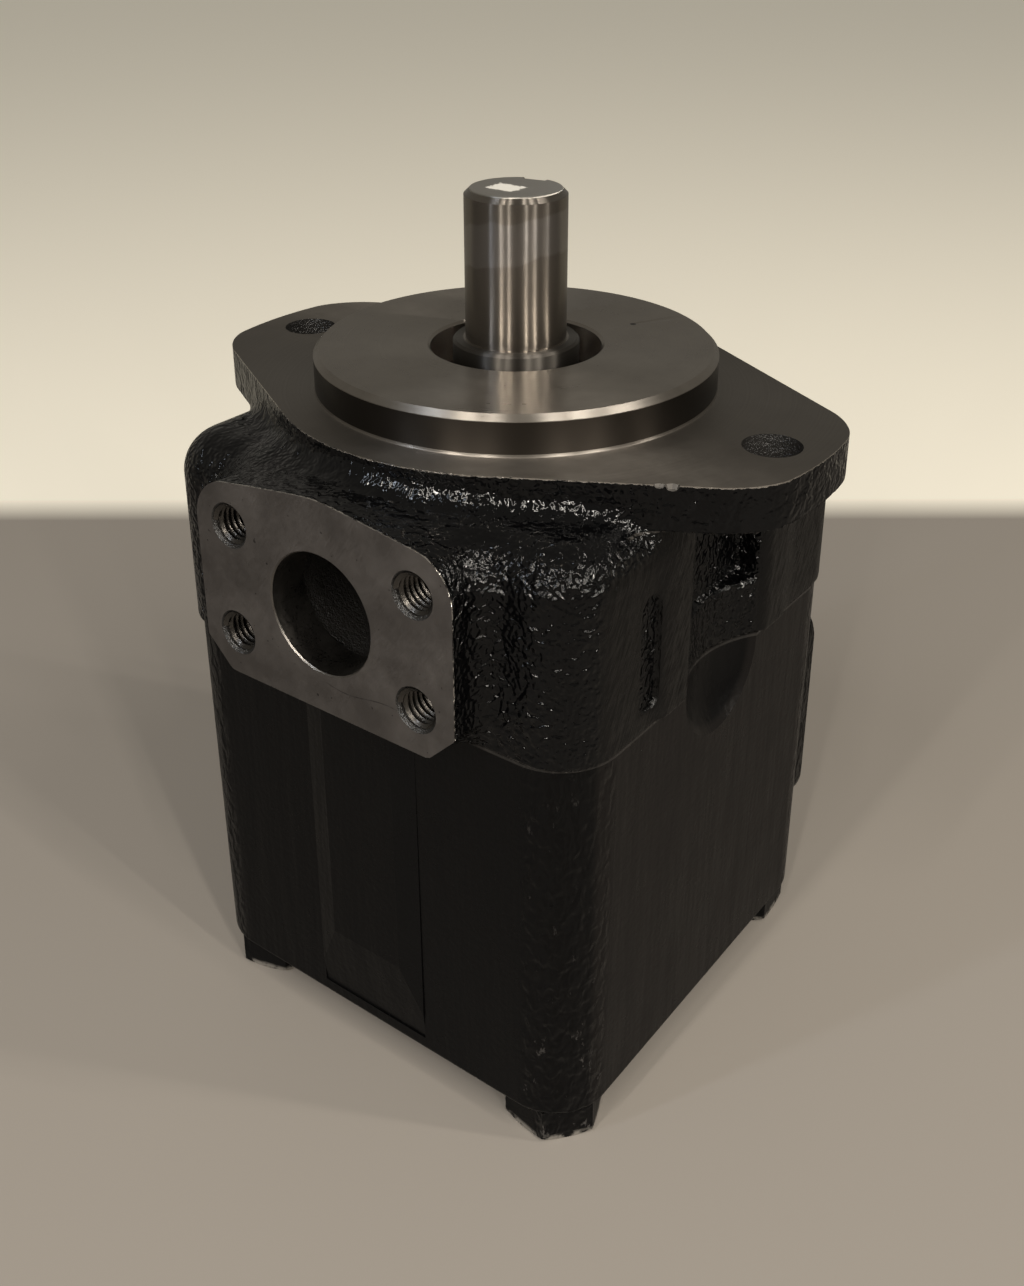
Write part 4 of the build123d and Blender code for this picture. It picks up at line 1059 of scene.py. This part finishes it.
def floor_finish():
    """Pale floor in two tones: darker where the pump stands, lighter well behind it.
    Mirrored in the pump it is darker, so that black paint stays black."""
    f = Finish("floor_pale", near_tone, 0.0, 0.55)
    behind = f.plus(f.times(f.axis("X"), -0.6), f.times(f.axis("Y"), 0.8))
    share = f.range(behind, change_start, change_end)
    pale = f.mix(share, near_tone, far_tone)
    path = f.add("ShaderNodeLightPath")
    f.drive("Base Color", f.mix(f.times(path.outputs["Is Glossy Ray"], 0.6), pale, mirrored_tone))
    f.set("Emission Color", (1.0, 0.94, 0.79, 1))
    f.drive("Emission Strength", f.times(share, 0.2, path.outputs["Is Camera Ray"]))
    return f.material


around = [(-1, -1), (1, -1), (1, 1), (-1, 1)]
floor_points = [(sx * floor_half, sy * floor_half, standing_level - floor_gap) for sx, sy in around]
floor = make_mesh("floor", floor_points, [(0, 1, 2, 3)])
floor.data.materials.append(floor_finish())
print("floor at", round(standing_level - floor_gap, 2), "mm")

# %% Light
def lamp(name, place, aim, size, power, color):
    """A soft rectangular lamp at a place in millimetres, turned towards its aim."""
    data = bpy.data.lights.new(name, "AREA")
    data.shape = "RECTANGLE"
    data.size, data.size_y = size[0] * MM, size[1] * MM
    data.energy = power
    data.color = color
    body = bpy.data.objects.new(name, data)
    bpy.context.scene.collection.objects.link(body)
    body.location = Vector(place) * MM
    body.rotation_euler = (Vector(place) - Vector(aim)).to_track_quat("Z", "Y").to_euler()


camera_side = -53.1
lamp_height = radians(35)
lamp_reach = 1600
strip_size = (28, 1300)
warm, cool = (1.0, 0.94, 0.85), (0.8, 0.88, 1.0)
strips = ((-58, 4, cool), (-34, 10, warm), (-16, 8, warm), (23, 9, warm), (43, 10, warm), (74, 7, warm))
for number, (turn, power, color) in enumerate(strips, 1):
    way = radians(camera_side + turn)
    place = (cos(way) * cos(lamp_height), sin(way) * cos(lamp_height), sin(lamp_height))
    lamp(f"strip_lamp_{number}", [lamp_reach * k for k in place], (0, 0, 0), strip_size, power, color)
print("lamps", len(strips), "in all", sum(power for turn, power, color in strips), "W")

# %% A dim warm grey all round
sky = (0.2, 0.187, 0.163)
world = bpy.data.worlds.new("studio")
bpy.context.scene.world = world
world.use_nodes = True
back = world.node_tree.nodes["Background"]
back.inputs["Color"].default_value = (*sky, 1)
back.inputs["Strength"].default_value = 1.0
print("sky", sky)

# %% [markdown]
# The camera
#
# Its place was fitted to the round edges in the photograph: the spigot, the shaft and the holes
# are circles on parallel planes, and only one camera sees them all as those ellipses. The
# picture's middle lies below the lens's axis, which a vertical shift gives without tilting.

# %% Camera
azimuth, elevation, roll = radians(36.86), radians(23.79), radians(-0.09)
camera_back, camera_left, camera_down = 449.74, 1.28, 27.59
back_way = Vector((sin(azimuth) * cos(elevation), -cos(azimuth) * cos(elevation), sin(elevation)))
right_way = Vector((0, 0, 1)).cross(back_way).normalized()
up_way = back_way.cross(right_way)
right_turned = cos(roll) * right_way + sin(roll) * up_way
up_turned = cos(roll) * up_way - sin(roll) * right_way
focal_px, image_height, centre_row_px = 1413.5, 1286, 465.98
sensor = 36
camera_data = bpy.data.cameras.new("camera")
camera = bpy.data.objects.new("camera", camera_data)
bpy.context.scene.collection.objects.link(camera)
camera_data.sensor_fit = "VERTICAL"
camera_data.sensor_height = sensor
camera_data.lens = focal_px * sensor / image_height
camera_data.shift_y = (centre_row_px - image_height / 2) / image_height
place = (camera_back * back_way - camera_left * right_turned - camera_down * up_turned) * MM
axes = [right_turned, up_turned, back_way, place]
camera.matrix_world = Matrix([[way[k] for way in axes] for k in range(3)] + [[0, 0, 0, 1]])
bpy.context.scene.camera = camera
bpy.context.scene.view_settings.view_transform = "Standard"
print("camera at", [round(k / MM) for k in place], "mm, lens", round(camera_data.lens, 1), "mm")
